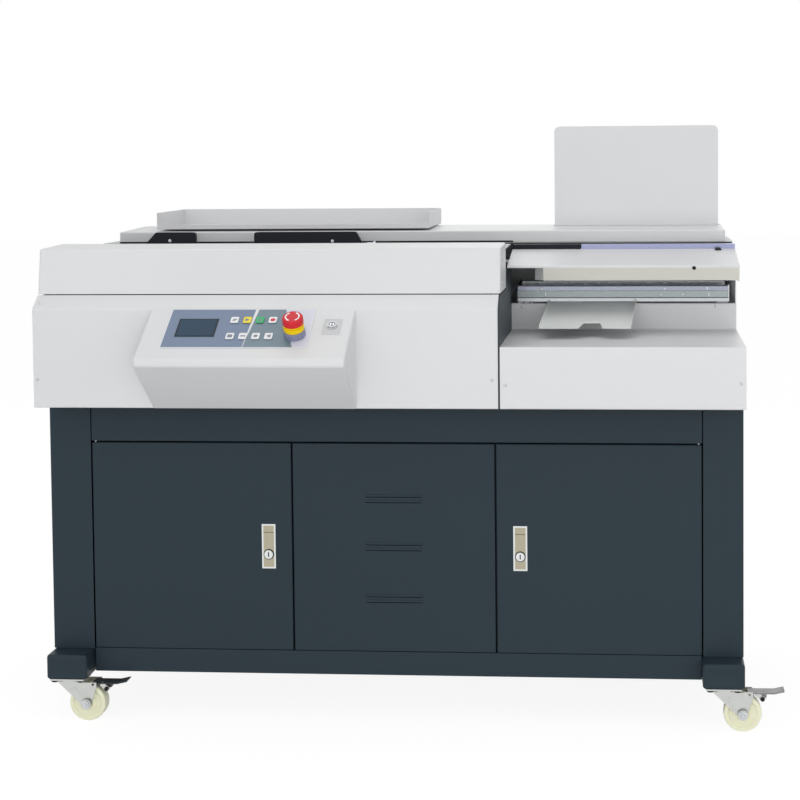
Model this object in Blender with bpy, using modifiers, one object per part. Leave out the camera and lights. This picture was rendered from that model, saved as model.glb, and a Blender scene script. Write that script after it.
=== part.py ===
"""A perfect binding machine on a castored cabinet.

Metres, +Z up, +X to the operator's right, the operator stands on the -Y side.
The origin is on the floor, below the middle of the whole machine's extent.
"""

import math

import bmesh
import bpy
from mathutils import Matrix, Vector

# General clearances and sheet metal
GAP = 0.0003            # between pieces that touch
SEAM = 0.0018           # between neighbouring covers
SHEET = 0.0020          # covers and cabinet panels
OVERRUN = 0.004         # how far a cutter runs past what it cuts
OVERLAP = 0.0015        # how deep welded shapes run into each other
MERGE = 0.00001         # points this close become one

# Overall body
MACHINE_WIDTH = 1.390
BODY_DEPTH = 0.600      # from the cabinet's front face to the machine's back

# Casters
WHEEL_RADIUS = 0.037
WHEEL_WIDTH = 0.030
WHEEL_CROWN = 0.003
WHEEL_HUB_RADIUS = 0.013
WHEEL_DISH = 0.004
AXLE_RADIUS = 0.0045
RUNNING_CLEARANCE = 0.0003
CASTER_TRAIL = 0.037
WHEEL_TOP_ROOM = 0.0045  # between the wheel and the fork's crown
FORK_SHEET = 0.0028
FORK_SIDE_ROOM = 0.003
FORK_HALF_LENGTH = 0.021
FORK_EYE_RADIUS = 0.010
FORK_EAR_REACH = 0.036
FORK_EAR_DROP = 0.011
RACE_RADIUS = 0.024
RACE_HEIGHT = 0.0032
NUT_RADIUS = 0.0085
NUT_HEIGHT = 0.0055
CASTER_PLATE_LENGTH = 0.070
CASTER_PLATE_WIDTH = 0.060
CASTER_PLATE_SHEET = 0.0030
CASTER_SETBACK = 0.031  # from a foot's end to the caster's swivel axis
PEDAL_SHEET = 0.0025
PEDAL_WIDTH = 0.032
PEDAL_REACH = 0.118     # from the swivel axis to the pedal's toe
PEDAL_PIVOT_REACH = 0.050
PEDAL_BOSS_RADIUS = 0.0028
PEDAL_PIN_RADIUS = 0.0020
PEDAL_TOE_LENGTH = 0.020
PEDAL_TOE_RISE = 0.0045
PEDAL_SHOE_LENGTH = 0.012
PEDAL_SHOE_DROP = 0.009
PEDAL_SHOE_REACH = 0.072

# Feet and cabinet
FOOT_WIDTH = 0.082
FOOT_HEIGHT = 0.050
FOOT_NOSE = 0.051       # how far a foot stands out in front of the cabinet
FOOT_ROUNDING = 0.006
FOOT_WALL = 0.003
FOOT_VENT_RADIUS = 0.008
CABINET_HEIGHT = 0.5035
BASE_SKIRT = 0.046
LEFT_POST = 0.085
RIGHT_POST = 0.080
BAYS = 3
FRAME_SHEET = 0.003
DIVIDER = 0.003
STILE_WIDTH = 0.040
TOP_BAND = 0.079
DOOR_GAP = 0.003
DOOR_DEPTH = 0.020
DOOR_WALL = 0.0018
DOOR_BOTTOM_GAP = 0.0020
LOUVRE_WIDTH = 0.112
LOUVRE_SLOT = 0.004
LOUVRE_PITCH = 0.011
LOUVRE_HEIGHT_SHARES = (0.25, 0.50, 0.73)
LOCK_PLATE_WIDTH = 0.028
LOCK_PLATE_HEIGHT = 0.090
LOCK_PLATE_PROUD = 0.0012
LOCK_FROM_EDGE = 0.047
LOCK_HEIGHT = 0.2110    # of the lock plate's middle above the door's lower edge
LOCK_CYLINDER_RADIUS = 0.0090
LOCK_CYLINDER_DROP = 0.016
LOCK_CYLINDER_PROUD = 0.0040
LOCK_CYLINDER_LENGTH = 0.0180
LOCK_KEYWAY = 0.0016
LOCK_KEYWAY_LENGTH = 0.010
LOCK_KEYWAY_DEPTH = 0.003
LOCK_CAM_LENGTH = 0.024
LOCK_CAM_WIDTH = 0.010
LOCK_CAM_SHEET = 0.0025

# Units inside the cabinet
BIN_SIDE_ROOM = 0.030
BIN_FRONT_ROOM = 0.050
BIN_DEPTH = 0.380
BIN_HEIGHT = 0.280
BIN_WALL = 0.003
EXTRACTOR_RADIUS = 0.110
EXTRACTOR_HEIGHT = 0.260
EXTRACTOR_MOTOR_RADIUS = 0.062
EXTRACTOR_MOTOR_HEIGHT = 0.080
EXTRACTOR_SPOUT_RADIUS = 0.030
EXTRACTOR_SPOUT_LENGTH = 0.150
EXTRACTOR_WALL = 0.003
ELECTRICS_WIDTH = 0.300
ELECTRICS_HEIGHT = 0.300
ELECTRICS_DEPTH = 0.110
ELECTRICS_BACK_ROOM = 0.0005
ELECTRICS_LIFT = 0.080
ELECTRICS_DIN_WIDTH = 0.220
ELECTRICS_DIN_HEIGHT = 0.060
ELECTRICS_DIN_DEPTH = 0.030
ELECTRICS_WALL = 0.002
ELECTRICS_ENTRY_WIDTH = 0.090
ELECTRICS_ENTRY_DEPTH = 0.030

# Covers of the upper body
COVER_STAND = 0.090     # how far the front covers stand in front of the cabinet
COVER_FRONT_HEIGHT = 0.1948
COVER_FLANGE = 0.020
SHOULDER_RUN = 0.036
SHOULDER_RISE = 0.0245
COVER_SPLIT = 0.2205    # from the machine's middle to the seam between the covers
LID_HEIGHT = 0.0885
LID_LEAN = 0.016
LID_TOP_DEPTH = 0.1325
LID_CROWN = 0.003
LID_STEP = 0.0145       # from the lid's top down to the deck
HINGE_KNUCKLE = 0.0045
HINGE_MARGIN = 0.060
DECK_SHEET = 0.003
SLOT_FRONT = 0.315      # the book slot, from the cabinet's front plane
SLOT_WIDTH = 0.077
HOUSING_LEFT_INSET = 0.037
HOUSING_RIGHT_INSET = 0.016
HOUSING_FRONT_HEIGHT = 0.0250
HOUSING_REAR_HEIGHT = 0.0295
LEDGE_HEIGHT = 0.1206
LEDGE_DEPTH = 0.340
RECESS_WALL_HEIGHT = 0.0551
RECESS_FLANGE = 0.010
MID_PLATE = 0.003
MID_PLATE_TOP_ROOM = 0.003
TUNNEL_HEIGHT = 0.093
TUNNEL_FRONT = 0.262
STATION_DECK_FRONT = 0.130
STATION_DECK_DROP = 0.0355
STATION_DECK_REAR_DROP = 0.0085
FASCIA_HEIGHT = 0.031
FASCIA_LEAN = 0.010
STATION_RAIL_WIDTH = 0.016
STATION_RAIL_HEIGHT = 0.008
SIDE_CHEEK_DROP = 0.069

# Tray and fence on the rear housing
TRAY_LEFT = 0.118       # from the machine's left side
TRAY_WIDTH = 0.610
TRAY_FRONT_INSET = 0.012
TRAY_DEPTH = 0.250
TRAY_HEIGHT = 0.037
TRAY_SHEET = 0.0020
TRAY_LIP = 0.0100
FENCE_RIGHT_INSET = 0.023   # from the machine's right side
FENCE_WIDTH = 0.370
FENCE_HEIGHT = 0.224
FENCE_SETBACK = 0.028
FENCE_FOOT = 0.030
FENCE_SHEET = 0.0025
FENCE_CORNER = 0.012

# Control box
CONTROL_LEFT = 0.238    # from the machine's left side
CONTROL_WIDTH = 0.402
CONTROL_DEPTH = 0.140
CONTROL_LIP = 0.0135
CONTROL_DROP = 0.0825   # of the inclined face, from its rear edge to its lip
CONTROL_WALL = 0.0025
PANEL_LEFT = 0.0445     # from the control box's left side
PANEL_WIDTH = 0.282
PANEL_LENGTH = 0.125
PANEL_TOP_MARGIN = 0.003
PANEL_SHEET = 0.0015
KEY_RADIUS = 0.0072
KEY_CLEARANCE = 0.0004
KEY_PROUD = 0.0016
KEY_LENGTH = 0.0090
KEY_FLANGE = 0.0009
KEY_COLUMNS = 4
KEY_PITCH = 0.0248
KEY_FIRST = 0.1735      # from the control box's left side
KEY_FIRST_ROW = 0.041   # down the inclined face
KEY_ROW_PITCH = 0.052
KEY_ROWS = 2
KEY_WINDOW_MARGIN = 0.006
DISPLAY_LEFT = 0.0655
DISPLAY_WIDTH = 0.077
DISPLAY_TOP = 0.036
DISPLAY_LENGTH = 0.058
DISPLAY_PROUD = 0.0008
ESTOP_FROM_LEFT = 0.2975
ESTOP_DOWN = 0.088
ESTOP_BASE_RADIUS = 0.0200
ESTOP_BASE_HEIGHT = 0.0050
ESTOP_NECK_RADIUS = 0.0150
ESTOP_NECK_HEIGHT = 0.0180
ESTOP_STEM_RADIUS = 0.0080
ESTOP_STEM_DEPTH = 0.0140
ESTOP_HEAD_RADIUS = 0.0200
ESTOP_HEAD_HEIGHT = 0.0150
ESTOP_HEAD_ROUND = 0.0050
ESTOP_TRAVEL = 0.0050
KEYSWITCH_FROM_LEFT = 0.3648
KEYSWITCH_DOWN = 0.057
KEYSWITCH_RADIUS = 0.0090
KEYSWITCH_PROUD = 0.0060
KEYSWITCH_LENGTH = 0.0200

# Clamp carriage and its guide
SHAFT_RADIUS = 0.0125
SHAFT_SETBACK = 0.068   # behind the book slot
SHAFT_DROP = 0.048      # below the deck
CLAMP_LENGTH = 0.480
CLAMP_LEFT = 0.113      # from the machine's left side, at rest
CLAMP_TOP_ROOM = 0.006
CLAMP_HEIGHT = 0.070
CLAMP_JAW = 0.010
CLAMP_SLOT_ROOM = 0.005
SADDLE_LENGTH = 0.300
SADDLE_DEPTH = 0.046
SADDLE_HEIGHT = 0.046
SADDLE_CLEARANCE = 0.0004
JAW_PIN_RADIUS = 0.007
JAW_PIN_INSET = 0.060
HORN_RISE = 0.0275      # of the black end plates above the deck
HORN_LEFT_WIDTH = 0.114
HORN_LEFT_SLANT = 0.022
HORN_RIGHT_WIDTH = 0.238
HORN_RIGHT_SLANT = 0.012
HORN_CORNER = 0.006

# Milling, gluing and nipping units under the clamp's path
PASS_ROOM = 0.004
CUTTER_X = -0.020
CUTTER_RADIUS = 0.058
CUTTER_THICKNESS = 0.009
CUTTER_TEETH = 12
CUTTER_TOOTH_WIDTH = 0.006
CUTTER_TOOTH_DEPTH = 0.007
SPINDLE_RADIUS = 0.010
SPINDLE_LENGTH = 0.018
MOTOR_RADIUS = 0.048
MOTOR_FLANGE = 0.120
MOTOR_FLANGE_HEIGHT = 0.010
TANK_X = 0.128
TANK_LENGTH = 0.150
TANK_WIDTH = 0.130
TANK_HEIGHT = 0.060
TANK_WALL = 0.004
TANK_RIM_ROOM = 0.014
TANK_LEG = 0.020
ROLLER_RADIUS = 0.021
ROLLER_LENGTH = 0.100
ROLLER_PITCH = 0.058
ROLLER_SHAFT_RADIUS = 0.006
ROLLER_SHAFT_LENGTH = 0.127
NIP_TOP_ROOM = 0.011
NIP_JAW_HEIGHT = 0.025
NIP_TABLE_SHEET = 0.008
NIP_MARGIN = 0.012
NIP_FRONT_INSET = 0.002
NIP_DEPTH = 0.152
NIP_REAR_JAW = 0.024
NIP_FRONT_JAW = 0.026
NIP_FRONT_STEP = 0.008
NIP_LEG = 0.024
NIP_INSET = 0.003
CHUTE_LEFT = 0.302      # from the machine's middle
CHUTE_WIDTH = 0.184
CHUTE_REACH = 0.198
CHUTE_DROP = 0.034
CHUTE_SHEET = 0.0015
CHUTE_FLANGE = 0.007
CHUTE_HOOK = 0.010
CHUTE_NOTCH_WIDTH = 0.052
CHUTE_NOTCH_DEPTH = 0.040
CHUTE_NOTCH_SLANT = 0.010

# Levels and places worked out from the sizes above
FORK_TOP = 2 * WHEEL_RADIUS + WHEEL_TOP_ROOM + FORK_SHEET
CASTER_HEIGHT = FORK_TOP + RACE_HEIGHT + GAP + CASTER_PLATE_SHEET
FOOT_TOP = CASTER_HEIGHT + FOOT_HEIGHT
CABINET_FLOOR = FOOT_TOP + GAP
CABINET_TOP = CABINET_FLOOR + CABINET_HEIGHT
BODY_FLOOR = CABINET_TOP + GAP
SHOULDER_FOOT = BODY_FLOOR + COVER_FRONT_HEIGHT
SHOULDER_TOP = SHOULDER_FOOT + SHOULDER_RISE
LID_BOTTOM = SHOULDER_TOP + SEAM
LID_TOP = LID_BOTTOM + LID_HEIGHT
DECK_TOP = LID_TOP + LID_CROWN - LID_STEP
DECK_BOTTOM = DECK_TOP - DECK_SHEET
LID_FRONT = SHOULDER_RUN - COVER_STAND
LID_REAR = LID_FRONT + LID_LEAN + LID_TOP_DEPTH
DECK_FRONT = LID_REAR + SEAM
SLOT_BACK = SLOT_FRONT + SLOT_WIDTH
LEDGE_TOP = BODY_FLOOR + LEDGE_HEIGHT
LEDGE_BACK = LEDGE_DEPTH - COVER_STAND
RECESS_TOP = LEDGE_TOP + RECESS_WALL_HEIGHT
CLAMP_TOP = DECK_TOP - CLAMP_TOP_ROOM
CLAMP_BOTTOM = CLAMP_TOP - CLAMP_HEIGHT
NIP_JAW_TOP = CLAMP_BOTTOM - NIP_TOP_ROOM
NIP_TABLE_TOP = NIP_JAW_TOP - NIP_JAW_HEIGHT
SWIVEL_OUT = MACHINE_WIDTH / 2 - FOOT_WIDTH / 2
HOUSING_TOP_FRONT = DECK_TOP + GAP + HOUSING_FRONT_HEIGHT
HOUSING_TOP_REAR = DECK_TOP + GAP + HOUSING_REAR_HEIGHT

# The origin is below the middle of the machine's whole extent
FRONT_REACH = COVER_STAND + CONTROL_DEPTH
TRAY_FRONT = SLOT_BACK + TRAY_FRONT_INSET
REAR_REACH = max(TRAY_FRONT + TRAY_DEPTH, BODY_DEPTH)
FRONT_Y = (FRONT_REACH - REAR_REACH) / 2
PEDAL_OVERHANG = max(SWIVEL_OUT + PEDAL_REACH - MACHINE_WIDTH / 2, 0)
MID_X = -PEDAL_OVERHANG / 2
LEFT_X = MID_X - MACHINE_WIDTH / 2
RIGHT_X = MID_X + MACHINE_WIDTH / 2
SPLIT_X = MID_X + COVER_SPLIT

ROUND = 32
SMALL_ROUND = 20
PIN_SIDES = 12
WHEEL_STEPS = 28

MODEL = bpy.data.collections.new("perfect_binding_machine")
CUTTERS = bpy.data.collections.new("cutters")


def behind(distance):
    """The place that lies this far behind the cabinet's front face."""
    return FRONT_Y + distance


def finish(name, colour, roughness, metallic):
    """One plain Principled material."""
    material = bpy.data.materials.new(name)
    material.use_nodes = True
    shader = material.node_tree.nodes["Principled BSDF"]
    shader.inputs["Base Color"].default_value = (*colour, 1)
    shader.inputs["Roughness"].default_value = roughness
    shader.inputs["Metallic"].default_value = metallic
    return material


def file_under(obj, collection):
    """Moves an object into one collection."""
    for owner in list(obj.users_collection):
        owner.objects.unlink(obj)
    collection.objects.link(obj)
    return obj


def block(name, low, high):
    """A box between two corners, its origin at its middle."""
    low, high = Vector(low), Vector(high)
    bpy.ops.mesh.primitive_cube_add(size=1, location=(low + high) / 2)
    obj = bpy.context.object
    obj.name = name
    obj.data.transform(Matrix.Diagonal((*(high - low), 1)))
    return file_under(obj, MODEL)


def cylinder(name, base, radius, length, axis="Z", sides=ROUND):
    """A cylinder that starts at base and runs along the axis."""
    turns = {
        "X": Matrix.Rotation(math.pi / 2, 4, "Y"),
        "Y": Matrix.Rotation(-math.pi / 2, 4, "X"),
        "Z": Matrix.Identity(4),
    }
    bpy.ops.mesh.primitive_cylinder_add(vertices=sides, radius=radius, depth=length)
    obj = bpy.context.object
    obj.name = name
    obj.data.transform(turns[axis] @ Matrix.Translation((0, 0, length / 2)))
    obj.location = base
    round_shading(obj)
    return file_under(obj, MODEL)


def turned(name, profile, centre, axis="Z", steps=ROUND):
    """A turned shape: (radius, height) points, down the outer side, round the axis."""
    mesh = bpy.data.meshes.new(name)
    form = bmesh.new()
    points = [form.verts.new((radius, 0, height)) for radius, height in profile]
    for first, second in zip(points, points[1:]):
        form.edges.new((first, second))
    if profile[0][0] > 0:
        form.edges.new((points[-1], points[0]))
    form.to_mesh(mesh)
    form.free()
    obj = bpy.data.objects.new(name, mesh)
    MODEL.objects.link(obj)
    screw = obj.modifiers.new("turn", "SCREW")
    screw.axis = "Z"
    screw.steps = steps
    screw.render_steps = steps
    screw.use_merge_vertices = True
    screw.merge_threshold = MERGE
    screw.use_smooth_shade = False
    obj.location = centre
    if axis == "Y":
        obj.rotation_euler = (-math.pi / 2, 0, 0)
    return obj


def slab(name, outline, axis, start, end):
    """A flat outline with a thickness: (Y, Z) points along X, (X, Z) along Y, (X, Y) along Z."""
    curve = bpy.data.curves.new(name, "CURVE")
    curve.dimensions = "2D"
    curve.fill_mode = "BOTH"
    curve.extrude = abs(end - start) / 2
    spline = curve.splines.new("POLY")
    spline.points.add(len(outline) - 1)
    for point, (across, up) in zip(spline.points, outline):
        point.co = (across, up, 0, 1)
    spline.use_cyclic_u = True
    guide = bpy.data.objects.new(name + "_outline", curve)
    MODEL.objects.link(guide)
    middle = (start + end) / 2
    columns = {
        "X": Matrix(((0, 0, 1, middle), (1, 0, 0, 0), (0, 1, 0, 0), (0, 0, 0, 1))),
        "Y": Matrix(((1, 0, 0, 0), (0, 0, -1, middle), (0, 1, 0, 0), (0, 0, 0, 1))),
        "Z": Matrix(((1, 0, 0, 0), (0, 1, 0, 0), (0, 0, 1, middle), (0, 0, 0, 1))),
    }
    bpy.context.view_layer.update()
    shape = guide.evaluated_get(bpy.context.evaluated_depsgraph_get())
    mesh = bpy.data.meshes.new_from_object(shape)
    bpy.data.objects.remove(guide)
    mesh.name = name
    mesh.transform(columns[axis])
    form = bmesh.new()
    form.from_mesh(mesh)
    bmesh.ops.remove_doubles(form, verts=form.verts, dist=MERGE)
    bmesh.ops.recalc_face_normals(form, faces=form.faces)
    form.to_mesh(mesh)
    form.free()
    obj = bpy.data.objects.new(name, mesh)
    MODEL.objects.link(obj)
    return obj


def folded(name, path, axis, start, end, thickness, side):
    """Folded sheet along an open path, its metal on the path's left (side 1) or right (-1)."""
    mesh = bpy.data.meshes.new(name)
    form = bmesh.new()
    places = {
        "X": lambda across, up: (start, across, up),
        "Z": lambda across, up: (across, up, start),
    }
    steps = {"X": (end - start, 0, 0), "Z": (0, 0, end - start)}
    points = [form.verts.new(places[axis](*point)) for point in path]
    edges = [form.edges.new(pair) for pair in zip(points, points[1:])]
    drawn = bmesh.ops.extrude_edge_only(form, edges=edges)
    moved = [item for item in drawn["geom"] if isinstance(item, bmesh.types.BMVert)]
    bmesh.ops.translate(form, verts=moved, vec=steps[axis])
    form.normal_update()
    (across, up), (next_across, next_up) = path[0], path[1]
    origin = Vector(places[axis](0, 0))
    leftward = Vector(places[axis](up - next_up, next_across - across)) - origin
    edge_middle = Vector(places[axis]((across + next_across) / 2, (up + next_up) / 2))
    nearest = min(form.faces, key=lambda face: (face.calc_center_median() - edge_middle).length)
    if nearest.normal.dot(leftward) < 0:
        bmesh.ops.reverse_faces(form, faces=form.faces)
    form.to_mesh(mesh)
    form.free()
    obj = bpy.data.objects.new(name, mesh)
    MODEL.objects.link(obj)
    wall = obj.modifiers.new("sheet", "SOLIDIFY")
    wall.thickness = thickness
    wall.offset = side
    wall.use_even_offset = True
    return obj


def tool(obj):
    """Marks an object as a cutter or a helper shape."""
    obj.hide_render = True
    obj.display_type = "WIRE"
    return file_under(obj, CUTTERS)


def combine(target, other, operation):
    """One Boolean step on the target."""
    tool(other)
    step = target.modifiers.new(other.name, "BOOLEAN")
    step.operation = operation
    step.solver = "EXACT"
    step.object = other
    return target


def cut(target, *others):
    for other in others:
        combine(target, other, "DIFFERENCE")
    return target


def weld(target, *others):
    for other in others:
        combine(target, other, "UNION")
    return target


def bevelled(obj, width, segments=1):
    """A small edge rounding on all sharp edges."""
    edge = obj.modifiers.new("edges", "BEVEL")
    edge.width = width
    edge.segments = segments
    edge.limit_method = "ANGLE"
    edge.angle_limit = math.radians(40)
    return obj


def round_shading(obj):
    """Smooth shading with sharp edges kept."""
    obj.data.shade_smooth()
    obj.data.set_sharp_from_angle(angle=math.radians(35))
    return obj


def painted(obj, material):
    obj.data.materials.clear()
    obj.data.materials.append(material)
    return obj


def pivot_at(obj, place):
    """Moves an object's origin to its joint's axis, with the shape left in place."""
    place = Vector(place)
    obj.data.transform(Matrix.Translation(obj.location - place))
    obj.location = place
    return obj


def arc(centre, radius, first, last, steps):
    """Points along an arc, in degrees, first to last."""
    points = []
    for index in range(steps + 1):
        angle = math.radians(first + (last - first) * index / steps)
        points.append((centre[0] + radius * math.cos(angle), centre[1] + radius * math.sin(angle)))
    return points


def make_foot(side, name, slate):
    """A capped square tube with a vent in its rear cap, and a caster plate under each end."""
    middle = MID_X + side * SWIVEL_OUT
    low = (middle - FOOT_WIDTH / 2, behind(-FOOT_NOSE), CASTER_HEIGHT)
    high = (middle + FOOT_WIDTH / 2, behind(BODY_DEPTH), FOOT_TOP)
    foot = bevelled(block(name, low, high), FOOT_ROUNDING, 2)
    hollow = block(
        name + "_hollow",
        (low[0] + FOOT_WALL, low[1] + FOOT_WALL, low[2] + FOOT_WALL),
        (high[0] - FOOT_WALL, high[1] - FOOT_WALL, high[2] - FOOT_WALL),
    )
    vent = cylinder(
        name + "_vent",
        (middle, high[1] - FOOT_WALL - OVERRUN, (CASTER_HEIGHT + FOOT_TOP) / 2),
        FOOT_VENT_RADIUS,
        FOOT_WALL + 2 * OVERRUN,
        "Y",
        SMALL_ROUND,
    )
    cut(foot, hollow, vent)
    for index, place in enumerate(caster_places(side)):
        plate_low = (
            place[0] - CASTER_PLATE_LENGTH / 2,
            place[1] - CASTER_PLATE_WIDTH / 2,
            CASTER_HEIGHT - CASTER_PLATE_SHEET,
        )
        plate_high = (
            place[0] + CASTER_PLATE_LENGTH / 2,
            place[1] + CASTER_PLATE_WIDTH / 2,
            CASTER_HEIGHT + FOOT_WALL / 2,
        )
        weld(foot, block(f"{name}_plate_{index}", plate_low, plate_high))
    return painted(foot, slate)


def caster_places(side):
    """The swivel axes of one foot's two casters, front and rear."""
    x = MID_X + side * SWIVEL_OUT
    front = behind(CASTER_SETBACK - FOOT_NOSE)
    rear = behind(BODY_DEPTH - CASTER_SETBACK)
    return (x, front), (x, rear)


def make_fork(name, place, braked, zinc):
    """A pressed fork with its race, axle and nuts, its wheel trailing to the right."""
    x, y = place
    inner = WHEEL_WIDTH / 2 + FORK_SIDE_ROOM
    outer = inner + FORK_SHEET
    eye = (x + CASTER_TRAIL, WHEEL_RADIUS)
    crown_right = x + FORK_HALF_LENGTH + FORK_EAR_REACH
    crown = block(
        name,
        (x - FORK_HALF_LENGTH, y - outer, FORK_TOP - FORK_SHEET),
        (x + FORK_HALF_LENGTH, y + outer, FORK_TOP),
    )
    outline = [
        (x - FORK_HALF_LENGTH, FORK_TOP - FORK_SHEET / 2),
        *arc(eye, FORK_EYE_RADIUS, 205, 370, 6),
        (crown_right, FORK_TOP - FORK_EAR_DROP),
        (crown_right, FORK_TOP - FORK_SHEET / 2),
    ]
    for index, sign in enumerate((-1, 1)):
        ends = sorted((y + sign * inner, y + sign * outer))
        weld(crown, slab(f"{name}_cheek_{index}", outline, "Y", *ends))
    race = cylinder(name + "_race", (x, y, FORK_TOP - OVERLAP), RACE_RADIUS, RACE_HEIGHT + OVERLAP)
    half_axle = outer + NUT_HEIGHT
    axle = cylinder(
        name + "_axle", (eye[0], y - half_axle, eye[1]), AXLE_RADIUS, 2 * half_axle, "Y", SMALL_ROUND
    )
    weld(crown, race, axle)
    for index, base in enumerate((y - outer - NUT_HEIGHT + OVERLAP, y + outer - OVERLAP)):
        nut = cylinder(f"{name}_nut_{index}", (eye[0], base, eye[1]), NUT_RADIUS, NUT_HEIGHT, "Y", 6)
        weld(crown, nut)
    if braked:
        pin_z = FORK_TOP - FORK_SHEET - PEDAL_BOSS_RADIUS
        pin_bore = cylinder(
            name + "_pin_bore",
            (x + PEDAL_PIVOT_REACH, y - outer - OVERRUN, pin_z),
            PEDAL_PIN_RADIUS + RUNNING_CLEARANCE,
            2 * (outer + OVERRUN),
            "Y",
            PIN_SIDES,
        )
        cut(crown, pin_bore)
    return painted(pivot_at(crown, (x, y, FORK_TOP + RACE_HEIGHT)), zinc)


def make_wheel(name, place, nylon):
    """A turned nylon wheel with a dished side and a plain bore."""
    half = WHEEL_WIDTH / 2
    bore = AXLE_RADIUS + RUNNING_CLEARANCE
    rim = WHEEL_RADIUS - 2 * WHEEL_CROWN
    profile = [
        (bore, half),
        (WHEEL_HUB_RADIUS, half),
        (WHEEL_HUB_RADIUS + WHEEL_DISH, half - WHEEL_DISH),
        (rim, half),
        (WHEEL_RADIUS - WHEEL_CROWN, half),
        (WHEEL_RADIUS, half - WHEEL_CROWN),
    ]
    profile += [(radius, -height) for radius, height in reversed(profile)]
    centre = (place[0] + CASTER_TRAIL, place[1], WHEEL_RADIUS)
    return painted(turned(name, profile, centre, "Y", WHEEL_STEPS), nylon)


def make_pedal(name, place, steel):
    """A pressed brake pedal on a pin between the fork's ears, with its shoe below."""
    x, y = place
    crown_under = 2 * WHEEL_RADIUS + WHEEL_TOP_ROOM
    pivot = (x + PEDAL_PIVOT_REACH, crown_under - PEDAL_BOSS_RADIUS)
    ears = WHEEL_WIDTH / 2 + FORK_SIDE_ROOM + FORK_SHEET
    start = x + FORK_HALF_LENGTH + FORK_EAR_REACH + GAP
    knee = x + PEDAL_REACH - PEDAL_TOE_LENGTH
    toe = x + PEDAL_REACH
    level = pivot[1] + PEDAL_BOSS_RADIUS
    outline = [
        (start, level - PEDAL_SHEET),
        (knee, level - PEDAL_SHEET),
        (toe, level - PEDAL_SHEET + PEDAL_TOE_RISE),
        (toe, level + PEDAL_TOE_RISE),
        (knee, level),
        (start, level),
    ]
    pedal = slab(name, outline, "Y", y - PEDAL_WIDTH / 2, y + PEDAL_WIDTH / 2)
    inner = ears - FORK_SHEET - GAP
    tongue = block(
        name + "_tongue",
        (pivot[0] - PEDAL_BOSS_RADIUS, y - inner, level - 2 * PEDAL_BOSS_RADIUS),
        (start + OVERLAP, y + inner, level),
    )
    pin = cylinder(
        name + "_pin",
        (pivot[0], y - ears - PEDAL_PIN_RADIUS, pivot[1]),
        PEDAL_PIN_RADIUS,
        2 * (ears + PEDAL_PIN_RADIUS),
        "Y",
        PIN_SIDES,
    )
    shoe = block(
        name + "_shoe",
        (x + PEDAL_SHOE_REACH, y - WHEEL_WIDTH / 4, level - PEDAL_SHEET - PEDAL_SHOE_DROP),
        (x + PEDAL_SHOE_REACH + PEDAL_SHOE_LENGTH, y + WHEEL_WIDTH / 4, level - OVERLAP),
    )
    weld(pedal, tongue, shoe, pin)
    return painted(pivot_at(pedal, (pivot[0], y, pivot[1])), steel)


def bay_edges():
    """The X places of the gap lines between the posts, the doors and the centre panel."""
    first = LEFT_X + LEFT_POST
    last = RIGHT_X - RIGHT_POST
    return [first + (last - first) * index / BAYS for index in range(BAYS + 1)]


def make_cabinet(slate):
    """The welded frame with its floor, dividers, back and top, and the two side panels."""
    inner_left = LEFT_X + SHEET + GAP
    inner_right = RIGHT_X - SHEET - GAP
    front = behind(DOOR_DEPTH + GAP)
    rear = behind(BODY_DEPTH)
    floor = block(
        "cabinet_frame",
        (inner_left, front, CABINET_FLOOR),
        (inner_right, rear, CABINET_FLOOR + FRAME_SHEET),
    )
    skirt_left = LEFT_X + max(FOOT_WIDTH, LEFT_POST) + GAP
    skirt_right = RIGHT_X - max(FOOT_WIDTH, RIGHT_POST) - GAP
    skirt = block(
        "base_skirt",
        (skirt_left, behind(0), CABINET_FLOOR - BASE_SKIRT),
        (skirt_right, rear, CABINET_FLOOR + OVERLAP),
    )
    hollow = block(
        "base_hollow",
        (skirt_left + FRAME_SHEET, behind(FRAME_SHEET), CABINET_FLOOR - BASE_SKIRT - OVERRUN),
        (skirt_right - FRAME_SHEET, rear - FRAME_SHEET, CABINET_FLOOR - FRAME_SHEET),
    )
    back = block(
        "frame_back",
        (LEFT_X, rear - FRAME_SHEET, CABINET_FLOOR),
        (RIGHT_X, rear, CABINET_TOP),
    )
    top = block(
        "frame_top",
        (inner_left, behind(SHEET + GAP), CABINET_TOP - FRAME_SHEET),
        (inner_right, rear - OVERLAP, CABINET_TOP),
    )
    edges = bay_edges()
    band = block(
        "frame_band",
        (edges[0] + SEAM / 2, behind(0), CABINET_TOP - TOP_BAND),
        (edges[-1] - SEAM / 2, behind(SHEET + GAP + OVERLAP), CABINET_TOP),
    )
    weld(floor, skirt)
    cut(floor, hollow)
    weld(floor, back, top, band)
    for index, edge in enumerate(edges[1:-1]):
        divider = block(
            f"frame_divider_{index}",
            (edge - DIVIDER / 2, front, CABINET_FLOOR + OVERLAP),
            (edge + DIVIDER / 2, rear - OVERLAP, CABINET_TOP - OVERLAP),
        )
        stile = block(
            f"frame_stile_{index}",
            (edge - STILE_WIDTH / 2, front, CABINET_FLOOR + OVERLAP),
            (edge + STILE_WIDTH / 2, front + FRAME_SHEET, CABINET_TOP - OVERLAP),
        )
        weld(floor, divider, stile)
    painted(floor, slate)
    side_rear = rear - FRAME_SHEET - GAP
    left_path = [
        (LEFT_X + LEFT_POST - SEAM / 2, behind(0)),
        (LEFT_X, behind(0)),
        (LEFT_X, side_rear),
    ]
    right_path = [
        (RIGHT_X - RIGHT_POST + SEAM / 2, behind(0)),
        (RIGHT_X, behind(0)),
        (RIGHT_X, side_rear),
    ]
    for name, path, side in (
        ("cabinet_side_left", left_path, -1),
        ("cabinet_side_right", right_path, 1),
    ):
        panel = folded(name, path, "Z", CABINET_FLOOR, CABINET_TOP, SHEET, side)
        painted(panel, slate)


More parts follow.
